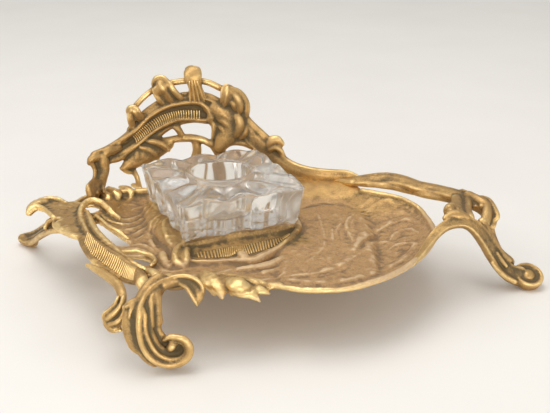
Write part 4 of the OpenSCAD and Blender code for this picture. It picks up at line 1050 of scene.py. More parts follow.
dish_work = [
    fold([(15, 34.7), (18.9, 38.4), (22.9, 40.4), (26.8, 41.4), (31.1, 40.3)], 1.19, 3.4, -0.72),
    fold([(31, 43), (36.4, 40.8), (40, 37), (43.3, 33.6)], 2.89, 2, 0.35),
    fold([(39.8, 27.2), (36.8, 21.5), (35.3, 13.4), (35.8, 5.1), (37.4, -6)], 4.67, 1.02, 0.8),
    fold([(41, 27.6), (38.4, 21), (37, 13.4), (37.4, 6)], 0.85, 1.36, -0.48),
    fold([(35, -22), (37.4, -13.1), (40.3, -4.8), (44.1, 2.6), (48.4, 9.8), (53.6, 15.6),
          (58.9, 18.6), (63.8, 17.4), (67.3, 12.8)], 5.5, 1.2, 1.1),
    fold([(39.6, -12), (42.6, -4), (46.6, 3), (51, 9)], 1.02, 2.55, -0.56),
    fold([(10, -38.4), (17, -36.6), (25.1, -33.6), (29.9, -29), (34.5, -23.6),
          (39.4, -16)], 5.52, 1.02, 0.96),
    fold([(16, -39.6), (24, -37), (31, -32.4), (36.4, -25.6)], 0.85, 2.21, -0.48),
    fold([(9, -41.5), (15, -43), (22, -44), (30, -42.6), (38, -39.4), (45.4, -34), (52.6, -27.4),
          (59, -19.4), (64.6, -9)], 4.5, 2.2, 0.8, 0.5),
    fold([(54.3, 2.4), (56.2, 7.4), (60.1, 10.4), (64.4, 8.6), (67, 2.6)], 1.02, 2.55, 0.72),
    fold([(57, 2), (60.4, 4.6), (64, 2.6)], 2.89, 2.89, -0.72),
    fold([(51.5, -9.4), (55.4, -5.4), (60, -4.4), (62.8, -8), (60, -14.4), (56, -20.8),
          (51, -26)], 2.72, 0.85, 0.88),
    fold([(55, -11), (58, -9.6), (58, -13), (55, -18)], 2.55, 2.55, -0.72),
    fold([(45.3, -3.4), (48.8, 0.3), (52.3, 0.7), (56, -2.2)], 1.02, 2.21, 0.64),
    fold([(45.6, 7.4), (48, 8.8), (50, 7)], 1.02, 1.02, -0.56),
    fold([(50, 11), (52, 11.8), (54, 10.4)], 1.02, 1.02, -0.56),
    fold([(43.6, -7), (45.6, -6.6), (47.2, -8.4)], 1.02, 1.02, -0.64),
    fold([(41.6, -13), (44, -12.4), (46, -14.6)], 1.02, 1.02, 0.56),
    fold([(46, -14), (49.6, -15), (51.6, -18.6)], 1.02, 1.19, 0.56),
    fold([(44.6, -20), (47.6, -22.6), (47.4, -26.4)], 1.02, 1.19, 0.48),
    fold([(28.8, 10.6), (28.7, -1.9), (28.7, -14)], 0.77, 1.53, 0.4),
    fold([(31.6, 9), (31.8, -1), (31.6, -12)], 0.68, 1.02, -0.28),
    fold([(18.9, -20.4), (18.7, -30)], 0.77, 1.19, 0.4),
    fold([(23, -17.6), (23.4, -27)], 0.77, 1.19, 0.32),
    fold([(34.6, 19), (31.6, 12), (30.4, 5)], 1.19, 1.19, 0.4),
    fold([(46.3, 32.5), (52.5, 36.6), (59, 36.6), (65, 31.6), (69, 24.4),
          (70.2, 15)], 1.8, 4.4, 0.4),
    fold([(49, 27), (55, 30), (61, 28), (65.4, 21)], 2, 3.82, 0.2),
    fold([(40, 31.6), (44.6, 36.6), (49.4, 40.6)], 2.4, 2.2, 0.25),
    fold([(44, 30.6), (45.6, 32), (47.6, 32.6)], 1, 1, -0.5),
    fold([(23.4, 28), (24.4, 14), (25, 0), (23.4, -12), (17, -24)], 1.02, 1.87, 0.44, 0.5)]
plate_work = [
    fold([(-78.7, 21), (-75.8, 15.6), (-72.6, 12.6), (-67, 11.4)], 1.02, 1.36, -0.6),
    fold([(-74.7, 27.3), (-72.4, 21), (-68.8, 18.2), (-65, 19.5), (-61.6, 25),
          (-59, 33.2)], 1.02, 3.4, 0.83),
    fold([(-72.4, 14.4), (-68, 13), (-63.8, 14.6), (-60.4, 20), (-57.4, 27.6)], 1.02, 3.4, 0.75),
    fold([(-71.2, 8), (-67.2, 6.4), (-63, 8.6), (-59.4, 14.2), (-56, 21.6)], 0.94, 3.06, 0.83),
    fold([(-68.9, 2.2), (-65, 1.6), (-60.8, 4.6), (-57, 10.2), (-53.8, 17.6)], 0.94, 3.06, 0.75),
    fold([(-64.6, -2.6), (-60.8, -1.8), (-57.2, 1.6), (-54.6, 6.4)], 0.85, 2.21, 0.6),
    fold([(-44.6, -15), (-48.6, -9.6), (-51.8, -1.4), (-53.6, 7.4), (-52.8, 15),
          (-49.4, 19.4)], 3.4, 0.94, 0.98),
    fold([(-46, -9), (-49, -3.1), (-50.9, 3.5), (-51, 10.3), (-49.2, 15)], 1.02, 1.53, -0.68),
    fold([(-40.4, -17.4), (-43.6, -8), (-46.6, 2), (-47.6, 10.6), (-46, 17)], 0.94, 2.55, 0.75),
    fold([(-76.6, 36), (-75.6, 41.4), (-74, 44.6)], 1.19, 2.04, 0.52),
    fold([(-69.6, 35.6), (-68, 41.6), (-65.5, 45.4)], 1.19, 2.21, 0.6),
    fold([(-71.2, 29.9), (-69.6, 35.6), (-65.6, 38), (-61.4, 36.4)], 1.02, 2.55, 0.68),
    fold([(-65, 31.6), (-61.4, 37), (-57, 41.6)], 1.02, 2.55, 0.6),
    fold([(-59.6, 44), (-55.4, 47), (-50.6, 53)], 1.02, 2.55, 0.52),
    fold([(-56, 30), (-54, 36), (-50, 41)], 1.02, 2.21, 0.52),
    fold([(-62.6, -12.4), (-58.6, -10.6), (-54, -12), (-49.6, -15.4)], 0.94, 2.38, 0.75),
    fold([(-59.4, -6.5), (-55.5, -6.0), (-51.6, -9), (-47.5, -14.7)], 0.94, 2.38, 0.68),
    fold([(-60.6, -19.4), (-56.4, -17.4), (-51.6, -18.6), (-47, -22.6)], 0.94, 2.21, 0.68),
    fold([(-52.6, -24), (-48.6, -24.8), (-44.4, -28.6), (-42.8, -34)], 1.02, 1.87, 0.6),
    fold([(-45, -21.4), (-41, -22), (-38, -25.6), (-38.6, -31)], 1.02, 1.87, 0.52),
    fold([(-46.2, -31.4), (-39.9, -33.6), (-33.9, -31.8), (-27.5, -27.6)], 2.55, 1.02, 0.45),
    fold([(-36, -36.4), (-28, -37.4), (-20.6, -35.4), (-13, -30)], 2.55, 1.02, 0.52),
    fold([(-29.7, -41.3), (-21, -41.6), (-13, -38.6), (-5, -33)], 2.55, 1.02, 0.52),
    fold([(-14.4, -43), (-6, -43.4), (1, -40), (8, -34)], 2.55, 1.02, 0.6),
    fold([(-4, -48), (3, -47.6), (9, -45)], 2.55, 1.02, 0.45)]
chase(tray, dish_work, above=20.5)
chase(tray, plate_work, above=22.5)
rough_cast(tray)
print("chased lines:", len(dish_work) + len(plate_work))

# %% Tray: dust, ribs and finish
def lighten(piece, triangles):
    """Takes triangles away where the skin is flat; the points keep what is written on them."""
    mesh = piece.data
    mesh.calc_loop_triangles()
    share = triangles / len(mesh.loop_triangles)
    if share < 1:
        thin = piece.modifiers.new("thin", "DECIMATE")
        thin.ratio = share
        apply_modifiers(piece)


def tray_dust(piece):
    """Dust lies on what faces up below the rim: most in the dish, less on the plate and tab."""
    x, y, z = (read_points(piece) / MM).T
    away = np.hypot((x - DISH_AT[0]) / (DISH_SIZE[0] + 3), (y - DISH_AT[1]) / (DISH_SIZE[1] + 2))
    in_dish = np.clip((1.10 - away) / 0.12, 0, 1) * np.clip((44 - y) / 7, 0, 1)
    on_low_floor = np.clip((27.4 - z) / 1.6, 0, 1) * 0.85
    c, s = math.cos(GLASS_TURN), math.sin(GLASS_TURN)
    dx, dy = x - GLASS_AT[0], y - GLASS_AT[1]
    across, ahead = dx * c + dy * s, dy * c - dx * s
    in_cove = (np.clip((29 - np.abs(across)) / 3, 0, 1) * np.clip((ahead + 44) / 4, 0, 1)
               * np.clip(-26 - ahead, 0, 1))
    on_tab = np.clip((y - 43) / 4, 0, 1) * np.clip((x + 4) / 8, 0, 1)
    rubbed = 0.7 * np.clip((y - 21) / 10, 0, 1) * np.clip((x - 34) / 8, 0, 1)
    up = np.clip((read_points(piece, "normal")[:, 2] + 0.45 - 0.65 * (x < -40)) / 0.6, 0, 1)
    write_attribute(piece, "dust", np.maximum(in_dish, on_low_floor) * up * (1 - 0.9 * in_cove)
                    * (1 - on_tab) * (1 - rubbed))


mark_hollows(tray)
tray_dust(tray)
lighten(tray, 185_000)
bm = bmesh.new()
rib_foot = by_glass([(-24.4, -37.2, 25.4), (-15.1, -40, 25.3), (-9, -40.4, 25.3),
    (-2.9, -41.5, 25.3), (5.7, -39.6, 25.3), (15.5, -36.3, 25.4), (20.4, -33, 25.5)])
rib_head = by_glass([(-23.4, -31.4, 25.9), (-13.4, -32, 25.8), (-6, -32, 25.8), (-1.3, -32, 25.8),
    (8, -31.6, 25.8), (16.8, -30.6, 25.9), (21.4, -29.4, 26)])
RIB_SHARE = 0.66                        # how far up the hollow front the ribs reach
rib_head = [tuple(a + RIB_SHARE * (b - a) for a, b in zip(p, q))
            for p, q in zip(rib_foot, rib_head)]
ribs(bm, tray, rib_foot, rib_head, 42, 0.36, UP, 0.16)
band_low = above_rim([(-78.2, -14.4, -0.5), (-73.1, -24.9, -0.6), (-67.4, -33.2, -0.8),
    (-61.9, -39.9, -0.9), (-56.6, -45.7, -1), (-52.1, -49.5, -1)])
band_top = above_rim([(-77.9, -8.8, 0.5), (-72.5, -18.7, 0.5), (-66.3, -27.5, 0.5),
    (-60.6, -34.8, 0.4), (-55.5, -40.6, 0.3), (-51.6, -44.2, 0.1)])
ribs(bm, tray, band_low, band_top, 30, 0.42, UP, 0.2)
# Painted shade: the hollow front of the seat and the strip just under the glass are made darker,
# as the shade of the glass.
darken_near(tray, halfway(rib_foot, rib_head), 4.6, 0.80)
darken_near(tray, by_glass([(-25, -29, 27), (0, -29.4, 27), (25, -28.6, 27)]), 3.2, 0.70)
darken_near(tray, halfway(band_low, band_top), 5.2, 0.66)
add_to(tray, bm)
finish_piece(tray, "stand", ["tray"], dusty_brass)

# %% [markdown]
# ## Side rail and feet
# The rail is a rolled ribbon from the gallery's tab to the right foot. The right foot is a strap
# that ends in a small cup, the left one a twisted leaf, and the front one a tall C-scroll with
# a volute below and a thin outer strut beside it.

# %% Side rail
lean = (0.1, -0.55, 0.83)
rail_scrolls = [
    ([(36, 57.5, 30.2, 1.6, 1.3), (43, 53.5, 32.2, 3, 1.9), (50.5, 50.2, 33.7, 4, 2.5),
      (58.5, 48.4, 34.6, 4.3, 2.6), (65.5, 43.6, 34.9, 4.2, 2.6), (72, 36.6, 35, 3.8, 2.5),
      (79.5, 31, 35.4, 3.7, 2.5), (86, 24.8, 35.6, 3.9, 2.6), (91.5, 18.6, 35.4, 4, 2.6),
      (96.5, 13, 34.4, 3.6, 2.6), (99, 7.5, 32.4, 3.2, 2.4),
      (98.5, 3, 30, 2.8, 2.4)], lean, RIBBON),
    ([(48.6, 47.6, 32.4, 0.9, 1), (54.6, 45.6, 32.9, 1.7, 1.6), (60.4, 43.6, 32.9, 1.9, 1.7),
      (65.6, 39.4, 32.6, 1.5, 1.5), (69, 36, 32.4, 1, 1)], lean, ROUND),
    ([(70, 34.6, 32.6, 1, 1.1), (73.6, 31.6, 33.4, 1.8, 1.7), (77.6, 28.8, 33.8, 2, 1.8),
      (82, 25.6, 33.6, 1.6, 1.5), (86, 22, 33.4, 1, 1)], lean, ROUND),
    ([(86.1, 20, 36.2, 2.4, 1.8), (86, 12, 35.5, 3.4, 1.9), (85.4, 4, 35.3, 3.4, 2),
      (84.9, -3, 35.3, 2.4, 2)], lean, ROUND),
    ([(91, 22, 36.4, 2.2, 1.8), (90.6, 15, 36.2, 1.8, 1.8), (88.6, 6, 35.9, 1.9, 1.9),
      (88.1, -2, 35.4, 2.2, 2)], lean, ROUND),
    ([(91.4, 20, 37.9, 2.2, 1.8), (95, 15, 37.4, 2.2, 1.9), (97.9, 11, 36.3, 2.2, 1.9),
      (97.2, 5, 34.4, 2.4, 2), (95, 0, 31.7, 2.4, 2)], lean, ROUND),
    ([(97, 16, 38, 1.1, 1.2), (99.8, 14, 37.3, 1.3, 1.3), (101.1, 9, 35.7, 1.4, 1.3),
      (102, 5, 33.2, 1.2, 1.2), (100.1, 3, 31.9, 1, 1)], lean, ROUND),
    ([(89.9, 26, 37.6, 0.9, 1), (93.1, 21, 37.5, 1.1, 1.1), (95.5, 15, 36.9, 1.1, 1.1),
      (95.4, 10, 36.3, 0.9, 1)], lean, ROUND),
    ([(34.5, 60, 30, 2, 1.8), (38, 56.5, 30.6, 2.3, 1.9), (42, 53, 31.6, 2.4, 1.9)], UP, ROUND)]
bm = bmesh.new()
for path, face, shape in rail_scrolls:
    sweep(bm, path, face, shape)
side_ribbon = to_object(bm, "side_ribbon")
settle(side_ribbon, voxel=0.5, rounds=3)
finish_piece(side_ribbon, "stand", ["side_rail"], brass)

# %% Right foot
def turned(bm, profile, place, axis):
    """A round form: (radius, height) points that start and end on its axis, spun once round."""
    turn = Vector(axis).to_track_quat("Z", "Y").to_matrix()
    verts = [bm.verts.new(Vector(place) * MM + turn @ Vector((r, 0, h)) * MM) for r, h in profile]
    edges = [bm.edges.new(pair) for pair in zip(verts, verts[1:])]
    before = set(bm.verts) - set(verts)
    bmesh.ops.spin(bm, geom=verts + edges, cent=Vector(place) * MM, axis=Vector(axis).normalized(),
                   angle=2 * math.pi, steps=32, use_merge=True, use_duplicate=False)
    bmesh.ops.remove_doubles(bm, verts=[v for v in bm.verts if v not in before], dist=0.01 * MM)


CHANNEL = outline(lambda u: 0.7 * dome(u) ** 0.6 + 0.3 * bulge(u, 0.84, 0.16)
                  + 0.3 * bulge(u, -0.84, 0.16), half=18)
strap = [(58.7, -34, 28.2, 1.2, 1.1), (63, -27, 29, 1.6, 1.3), (67.6, -19, 30.6, 2, 1.5),
    (72.2, -12.5, 32.8, 2.2, 1.8), (76.6, -8.4, 34.3, 2.4, 2), (81.3, -6.2, 35, 2.6, 2.3),
    (85.8, -5.6, 34.6, 2.8, 2.6), (90.1, -4.8, 31.7, 3.2, 2.8), (94.8, -3.4, 25.7, 3.5, 2.9),
    (99.4, -1.4, 18.3, 3.6, 3), (104, 0.4, 11.8, 3.7, 3.1), (108.7, 1.4, 7.1, 4, 3.4),
    (113.5, 1.8, 5.1, 4.6, 3.6)]
strap_faces = [(-0.45, -0.55, 0.7)] * 3 + [(-0.3, -0.6, 0.74)] * 2 + [(0, -0.66, 0.75),
    (0.25, -0.7, 0.66)] + [(0.45, -0.72, 0.5)] * 6
right_scrolls = [
    (strap, strap_faces, CHANNEL),
    ([(80.6, 0, 36.2, 2.2, 2), (80.1, 3, 36.4, 3.1, 2.7), (81.2, 5, 37, 2.9, 2.6),
      (82.6, 4, 36.7, 2, 2)], FRONT, ROUND),
    ([(77.1, -4.6, 36.5, 1.6, 1.6), (79.8, -4, 37.6, 2.4, 2), (82.8, -4, 37.4, 2.6, 2.2),
      (85.9, -4, 36.2, 2.2, 2)], lean, ROUND),
    ([(98, 4, 30.5, 2.2, 2), (99.6, 3.5, 24, 2.4, 2.2), (103.6, 4.6, 16, 2.6, 2.3),
      (109.5, 5.6, 10.5, 2.6, 2.3)], FRONT, ROUND),
    ([(93.8, -1, 33.1, 2.2, 2), (96.8, -1, 28.3, 1.8, 1.7), (100.7, 0, 22.6, 1.4, 1.5),
      (104.5, 1, 16.9, 1.3, 1.4), (108.3, 2, 13, 1.2, 1.3)], FRONT, ROUND),
    ([(101.4, -2.4, 18.8, 0.7, 0.8), (103.5, -2.2, 15.3, 1.1, 1),
      (106.1, -2, 12.2, 0.8, 0.9)], FRONT, ROUND),
    ([(99.1, -4, 15.1, 0.8, 0.9), (102.2, -3.6, 11.2, 1.2, 1.1), (106.3, -3, 7.3, 1.3, 1.2),
      (110.6, -3, 4.8, 1.2, 1.1)], FRONT, ROUND)]
cup_axis = (0.10, -0.42, 0.90)
cup = [(0, -4.7), (4, -4.6), (6.2, -3), (6.9, -0.6), (6.9, 0.9), (6.3, 1.7), (5.5, 1.6), (4.7, 1),
    (3, 0.5), (0, 0.3)]
boss = [(0, -1.6), (3, -1.2), (3.3, 0), (2.5, 1.1), (1.1, 1.7), (0, 1.8)]
bm = bmesh.new()
for path, face, shape in right_scrolls:
    sweep(bm, path, face, shape)
turned(bm, cup, (117.7, 1.9, 5.5), cup_axis)
turned(bm, boss, (117.4, 1.5, 6.1), cup_axis)
right_foot = to_object(bm, "right_strap_foot")
settle(right_foot)
finish_piece(right_foot, "stand", ["right_foot"], brass)

# %% Left foot
twist = [(-0.1, -0.5, 0.86), (-0.2, -0.6, 0.78), (-0.35, -0.62, 0.7), (-0.4, -0.6, 0.7),
    (-0.2, -0.5, 0.84), (0, -0.4, 0.92)]
bm = bmesh.new()
leaf_leg = [(-90, 11, 25.8, 2.6, 1.8), (-97.5, 15.5, 24, 3.4, 1.9), (-105.5, 26.5, 17.5, 3.9, 2),
    (-114, 39.5, 8.8, 3.6, 2.1), (-120, 46.4, 4.2, 3.6, 2.4), (-123.2, 48.6, 3.4, 3, 2.4)]
sweep(bm, leaf_leg, twist, HOLLOW)
sweep(bm, [(x - 0.4, y + 0.6, z - 1.4, 2.2, 1.8) for x, y, z, *_ in leaf_leg], twist)
leaf_rib = [(-92, 9, 24.6, 1.1, 1.2), (-99.4, 13.4, 22.4, 1.2, 1.3),
    (-107.6, 24.6, 15.4, 1.2, 1.3), (-114.6, 36.6, 7.2, 1.3, 1.4), (-119.6, 43.6, 2.6, 1.4, 1.5)]
toe = [(-117, 43.5, 3.4, 2.6, 2.4), (-121, 47.4, 2.6, 3.4, 2.6), (-124, 49.4, 3, 2.2, 2.4)]
leaf_curl = [(-93.4, 16.8, 25.6, 1, 1), (-97.6, 19.4, 25.6, 1.7, 1.5),
    (-101.4, 19.6, 24.8, 1.6, 1.4), (-103, 17.2, 22.6, 1.1, 1.1)]
sweep_all(bm, [leaf_rib, toe, leaf_curl], face=UP)
left_foot = to_object(bm, "left_leaf_foot")
settle(left_foot)
finish_piece(left_foot, "stand", ["left_foot"], brass)

# %% Front foot
bm = bmesh.new()
outer_ridge = [(-38.4, -58, 33.4, 1, 1), (-40.8, -60, 32.9, 1.1, 1.1),
    (-43.6, -62.8, 31.8, 1.15, 1.2), (-45.6, -65.8, 30, 1.2, 1.2), (-46.7, -68.6, 28.1, 1.25, 1.3),
    (-47.1, -70.6, 25.4, 1.3, 1.3), (-47.4, -71.8, 21.5, 1.3, 1.3), (-47.2, -72.3, 17.1, 1.3, 1.3),
    (-46.4, -72.4, 12.9, 1.3, 1.3), (-44.8, -72.4, 9.2, 1.3, 1.3), (-42.5, -72.3, 6.5, 1.3, 1.3),
    (-39.6, -72, 4.7, 1.3, 1.3), (-36.3, -71.6, 4.1, 1.4, 1.4), (-32.9, -71.2, 4.8, 1.6, 1.4),
    (-30.2, -70.8, 6.9, 1.7, 1.5), (-29.1, -70.6, 10.1, 1.7, 1.5), (-29.8, -70.4, 13, 1.6, 1.5),
    (-31.7, -70.2, 14.7, 1.4, 1.4), (-34.3, -70, 15.3, 1.2, 1.2), (-36.8, -69.6, 15.1, 1.1, 1.1),
    (-38.8, -69, 13.6, 0.8, 0.9)]
inner_ridge = [(-45.7, -69.6, 27, 0.6, 0.8), (-45.1, -70.6, 24.6, 0.85, 0.9),
    (-45.2, -71.2, 21.1, 0.9, 1), (-45, -71.6, 18.1, 0.95, 1), (-44.2, -71.8, 15.1, 1, 1),
    (-43, -71.8, 12.1, 1, 1), (-41.4, -71.8, 9.5, 1, 1), (-39.4, -71.6, 7.7, 1, 1),
    (-36.5, -71.2, 6.4, 1, 1), (-33.4, -70.8, 6.5, 1, 1), (-31.2, -70.4, 8, 0.9, 1),
    (-30.6, -70.2, 10.5, 0.8, 0.9), (-31.7, -70, 12.6, 0.8, 0.9), (-34, -69.8, 13.5, 0.8, 0.9),
    (-35.9, -69.8, 13.1, 0.8, 0.9), (-36.7, -69.6, 11.2, 0.7, 0.8)]
flank_ridge = [(-39.5, -59, 31.8, 0.9, 1), (-41.7, -61.8, 31, 1, 1),
    (-42.9, -64.8, 29.9, 1.05, 1.1), (-43.1, -67.4, 28.3, 1.1, 1.1),
    (-43.1, -68.6, 25.6, 1.1, 1.1), (-43, -69, 22.4, 1, 1), (-42.8, -69, 19.5, 0.7, 0.8)]
outer_wall = [(-48, -65.6, 26.1, 2.6, 1.8), (-48.8, -67.4, 22.8, 3, 1.9),
    (-49.1, -68.4, 18.7, 3, 1.9), (-48.8, -69, 14.3, 2.8, 1.9), (-47.4, -69.4, 10.2, 2.6, 1.8),
    (-45.3, -69.6, 6.6, 2.4, 1.8), (-42.6, -69.6, 4, 2, 1.7)]
sweep_all(bm, [
    [(x, y + 2.9, z, 2.9, 2.3) for x, y, z, *_ in outer_ridge[1:14]], outer_wall,
    [(x, y + 2.7, z, 2.6, 1.9) for x, y, z, *_ in inner_ridge[:12]],
    [(x + 1.0, y + 2.6, z, 2.8, 1.9) for x, y, z, *_ in flank_ridge]])
sweep_all(bm, [outer_ridge, inner_ridge, flank_ridge])
arch = [(-39.5, -59, 31.5, 2.2, 1.9), (-36.6, -57.6, 32.3, 2.3, 1.9), (-33.2, -56.6, 32.4, 2.4, 2),
    (-30.2, -56.4, 32, 2.7, 2.1), (-27.7, -56.8, 30.7, 2.9, 2.2), (-26.3, -57.8, 28.6, 2.7, 2.2),
    (-26.1, -58.8, 26.1, 1.8, 1.9), (-26.8, -59.8, 23.5, 0.6, 0.8)]
arch_lines = (
    [(-38.4, -58, 33.4, 0.9, 1), (-35.4, -57.6, 34.2, 1, 1), (-32.3, -57.6, 34.6, 1, 1),
     (-29.3, -57.8, 34.4, 1, 1), (-26.6, -58.2, 33.2, 1, 1), (-24.8, -58.8, 31, 0.9, 0.9),
     (-24.4, -59.2, 28.7, 0.7, 0.8)],
    [(-33.1, -58.2, 31.5, 0.7, 0.8), (-30.6, -58.8, 30.3, 0.9, 0.9),
     (-28.8, -59.8, 27.9, 0.9, 0.9), (-27.4, -60.6, 25.4, 0.8, 0.8),
     (-26.7, -60.8, 23.8, 0.5, 0.5)],
    [(-39.4, -69.4, 10.4, 0.7, 0.8), (-38.9, -69.8, 8.6, 0.8, 0.9), (-37.5, -70, 7.1, 0.7, 0.8)],
    [(-37.3, -68.9, 9.3, 1.1, 1.2), (-35.9, -69.9, 11.1, 1.6, 1.7), (-34.5, -69.4, 12.1, 1, 1.1)])
well = [(-38.8, -66.4, 11.5, 2.6, 1.6), (-39.7, -66.8, 8.3, 2.8, 1.6), (-37.5, -67, 5.7, 2.8, 1.6),
    (-34, -67, 6.2, 2.8, 1.6), (-32.4, -66.8, 9.1, 2.8, 1.6), (-34.6, -66.8, 10.9, 2.6, 1.6),
    (-36.6, -66.8, 8.7, 2.6, 1.6)]
spur = [(-42.2, -66.6, 19.8, 2.2, 1.5), (-41.5, -67, 17, 1.8, 1.4), (-40.4, -67.2, 15, 1.5, 1.3),
    (-38.7, -67.6, 13.1, 1.4, 1.3)]
leaf_lobes = [
    [(-45, -64.6, 28.5, 1.4, 1.3), (-47.6, -65.8, 27.7, 2.4, 1.5), (-50.6, -66.2, 26.6, 2.5, 1.5),
     (-53.4, -66, 25.7, 1, 1)],
    [(-47.8, -66.4, 26.5, 2.2, 1.5), (-50.2, -67.4, 23.8, 3, 1.8), (-51.2, -68.2, 20.3, 3.3, 2),
     (-51.1, -68.8, 16.4, 3, 1.9), (-50.5, -69.2, 12.7, 2.4, 1.7), (-49.4, -69.4, 9.1, 1.2, 1.1)],
    [(-53.2, -66.8, 24.6, 0.7, 0.8), (-53.6, -67.6, 21.2, 0.8, 0.9),
     (-53.3, -68.4, 17.2, 0.8, 0.9), (-52.4, -69, 13.5, 0.9, 0.9), (-51.2, -69.4, 10.4, 0.9, 0.9),
     (-49.4, -69.6, 8.4, 0.6, 0.7)],
    [(-44.4, -63.4, 30.4, 0.6, 0.7), (-47.1, -65.4, 29.1, 0.8, 0.9),
     (-49.9, -67.4, 27.9, 0.8, 0.8), (-52.5, -67.4, 26.8, 0.5, 0.6)],
    [(-46.1, -67, 28.9, 0.6, 0.7), (-47.9, -68.6, 27.3, 0.8, 0.8), (-48.6, -69.6, 24.9, 0.8, 0.8),
     (-48.8, -70, 22.6, 0.5, 0.6)],
    [(-49.4, -68, 27.5, 0.5, 0.6), (-50.6, -69, 26, 0.7, 0.7), (-51.1, -69.8, 23.7, 0.5, 0.6)]]
sweep_all(bm, [arch, *arch_lines, well, spur, *leaf_lobes])
side_strut = [(-73, -36, 29, 0.8, 0.9), (-68.5, -39.5, 28.6, 1.6, 1.3), (-63, -45, 28.1, 1.9, 1.6),
    (-58.5, -50.5, 27.5, 2, 1.7), (-56, -56, 26, 2, 1.7), (-56, -59.2, 23.2, 2.1, 1.8),
    (-57.1, -60.6, 22.1, 2.8, 2), (-58.5, -61.4, 19.5, 3.8, 2), (-59.2, -61.8, 16.7, 4, 2),
    (-58.9, -62, 14.4, 2.8, 1.8)]
strut_faces = [(-0.1, -0.2, 0.97)] * 4 + [(-0.35, -0.5, 0.79), (-0.5, -0.75, 0.4),
    (-0.3, -0.92, 0.2)] + [(-0.2, -0.96, 0.2)] * 3
sweep(bm, side_strut, strut_faces)
strut_lines = (
    [(-54.6, -60.4, 27.2, 0.8, 0.9), (-55.3, -61.8, 24.9, 0.9, 1), (-56.9, -62.8, 22.7, 1.1, 1.1),
     (-59.1, -63.2, 20.7, 1.2, 1.2), (-60.7, -63, 19.3, 1, 1)],
    [(-54.1, -62.8, 22.4, 0.8, 0.9), (-55.2, -63.8, 20.2, 0.9, 1), (-57.1, -64, 18.5, 1.1, 1.1),
     (-59.6, -63.6, 17.3, 0.9, 0.9)],
    [(-56.8, -59.4, 26.6, 0.7, 0.8), (-58, -60.8, 24.2, 0.8, 0.9), (-60.1, -61.8, 22.2, 0.9, 0.9),
     (-62.1, -62, 20.7, 0.8, 0.8), (-62, -62.2, 18.2, 0.9, 0.9), (-60.6, -62.8, 16, 1, 1),
     (-58.3, -63.2, 14.5, 1, 1), (-55.9, -63.6, 14.7, 0.8, 0.9)])
sweep_all(bm, strut_lines)
links = (
    [(-61, -45.5, 27.5, 1.4, 1.3), (-59, -43.4, 27.2, 1.8, 1.5), (-57, -41.6, 27.4, 1.7, 1.5)],
    [(-57, -60.5, 21, 1.8, 1.8), (-53.6, -63, 20.4, 1.8, 1.8), (-50.4, -65.6, 20, 1.8, 1.8)],
    [(-32, -50, 27.5, 2, 1.6), (-34, -53, 28.6, 2.4, 2), (-37, -55.6, 29.6, 2.4, 2)],
    [(-26, -50, 27, 2, 1.4), (-28, -53, 28.2, 2.2, 1.8), (-30, -55.4, 29.6, 2, 1.8)])
sweep_all(bm, links, face=UP)
front_foot = to_object(bm, "front_scroll_foot")
settle(front_foot)
finish_piece(front_foot, "stand", ["front_foot"], brass)

# %% [markdown]
# ## The glass inkwell
# A thick pressed block, widest near its top. Each side has three hollow flutes that end as
# round-headed arches, the shoulder swells into petals above them, and a low ring stands round
# the well. It is drawn as rings round one axis, from the middle of the base to the well floor.

# %% Glass inkwell
BASE_HALF, GIRDLE_HALF, GIRDLE_H = 27.0, 30.0, 18.0
WELL_R, WELL_FLOOR, RING_TOP = 13.5, 4.0, 21.0
FLUTE_R, FLUTE_DEPTH, FLUTE_STEP = 15.0, 2.0, 17.6
BASE_EDGE, RIM_EDGE, RING_R, WELL_EDGE = 1.0, 1.4, 1.25, 2.5    # radii of the rounded edges


def soft_min(a, b, k=0.7):
    h = np.clip(0.5 + 0.5 * (b - a) / k, 0, 1)
    return b * (1 - h) + a * h - k * h * (1 - h)


def side_distance(t, h):
    """How far a side stands from the axis, at a place t along it and at height h."""
    flat = BASE_HALF + (GIRDLE_HALF - BASE_HALF) * h / GIRDLE_H
    fade = np.clip((GIRDLE_H + 0.6 - h) / 8.5, 0, 1)
    depth = FLUTE_DEPTH * np.minimum(1, fade * (1.6 - 0.6 * fade))
    shape = flat
    for middle in (-FLUTE_STEP, 0, FLUTE_STEP):
        round_in = FLUTE_R - np.sqrt(np.maximum(FLUTE_R ** 2 - (t - middle) ** 2, 0))
        inward = np.where(np.abs(t - middle) < FLUTE_R, round_in, FLUTE_R)
        shape = soft_min(shape, flat - depth + inward)
    return shape


def from_side(angle):
    """The angle from the middle of the nearest side."""
    return (angle + math.pi / 4) % (math.pi / 2) - math.pi / 4


def block_radius(angle, h):
    """Radius of the block in one direction: the nearest of its four sides, with soft corners."""
    quarter = from_side(angle)
    slope = np.tan(quarter)
    n = np.full_like(angle, GIRDLE_HALF - 1.0)
    for _ in range(12):
        n = side_distance(n * slope, h)
    corner = (GIRDLE_HALF + BASE_HALF) * 0.5 * 1.38 + (h - GIRDLE_H / 2) * 0.2
    corner = corner / np.maximum(np.cos(np.abs(quarter) - math.pi / 4), 0.7)
    return soft_min(n / np.cos(quarter), corner, 1.2)


def petals(angle):
    """1 above the middle of each flute and 0 between flutes."""
    return np.cos(np.pi * GIRDLE_HALF * np.tan(from_side(angle)) / FLUTE_STEP) ** 2


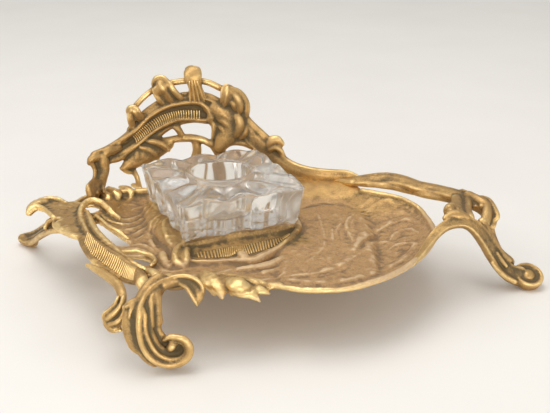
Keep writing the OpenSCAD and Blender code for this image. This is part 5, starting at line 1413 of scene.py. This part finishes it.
def glass_rings(count=288):
    """Rings (radius, height) from the middle of the base, up and over, to the well floor."""
    angle = np.arange(count) * 2 * math.pi / count
    base, edge, lobe = block_radius(angle, 0.0), block_radius(angle, GIRDLE_H), petals(angle)
    rings = [(0.02 * base, 0), (0.5 * base, 0)]
    rings += [(base - BASE_EDGE * (1 - math.sin(a)), BASE_EDGE * (1 - math.cos(a)))
              for a in np.radians((0, 30, 60, 90))]
    rings += [(block_radius(angle, h), h) for h in np.linspace(1.6, GIRDLE_H - 1.1, 22)]
    rim_low, rim = GIRDLE_H - 0.9, GIRDLE_H - 0.4 + 2.0 * lobe ** 0.7
    rings += [(edge - RIM_EDGE * (1 - math.cos(a)), rim_low + (rim - rim_low) * math.sin(a))
              for a in np.radians((25, 50, 75))]
    start, ring_foot, ring_low = edge - RIM_EDGE, WELL_R + 2.7, RING_TOP - 1.9
    for t in np.linspace(0.06, 1, 12):
        swell = (0.9 * lobe - 0.7 * (1 - lobe) ** 2) * math.sin(math.pi * t)
        rings.append((start + (ring_foot - start) * t, rim + (ring_low - rim) * t ** 1.3 + swell))
    rings += [(WELL_R + RING_R * (1 + math.cos(a)), RING_TOP - RING_R * (1 - math.sin(a)))
              for a in np.radians(np.linspace(10, 180, 9))]
    rings += [(WELL_R, h) for h in np.linspace(ring_low, WELL_FLOOR + WELL_EDGE, 12)]
    rings += [(WELL_R - WELL_EDGE * (1 - math.cos(a)), WELL_FLOOR + WELL_EDGE * (1 - math.sin(a)))
              for a in np.radians((20, 45, 70, 90))]
    rings += [(r, WELL_FLOOR) for r in (9, 5, 0.4)]
    return angle, [(r + 0 * angle, h + 0 * angle) for r, h in rings]


def glass_inkwell():
    angle, rings = glass_rings()
    bm = bmesh.new()
    ring = first_ring(bm, len(angle))
    for i, (radius, height) in enumerate(rings):
        if i:
            ring = next_ring(bm, ring)
        for v, a, r, h in zip(ring, angle + GLASS_TURN, radius, height):
            x, y = GLASS_AT[0] + r * math.cos(a), GLASS_AT[1] + r * math.sin(a)
            v.co = Vector((x, y, SEAT_Z + h)) * MM
    fill_ring(bm, ring)
    return to_object(bm, "glass_inkwell")


def glass_material():
    material, tree, shader, place = new_material("pressed_glass")
    smudge = place.noise(60.0, 4.0).clip(0.40, 0.70)
    height = place.noise(70.0, 1.0) + place.noise(420.0, 2.0) * 0.08
    bump = height.node("ShaderNodeBump", {}, {"Strength": 0.14, "Distance": 0.0004,
                                             "Height": height})
    feed(tree, shader, Roughness=0.09 + 0.12 * smudge, IOR=1.5, Transmission_Weight=0.90,
         Normal=bump, Base_Color=smudge.mix((0.99, 0.98, 0.95, 1), (0.93, 0.91, 0.86, 1)))
    return material


inkwell = glass_inkwell()
finish_piece(inkwell, "inkwell", ["inkwell"], glass_material())
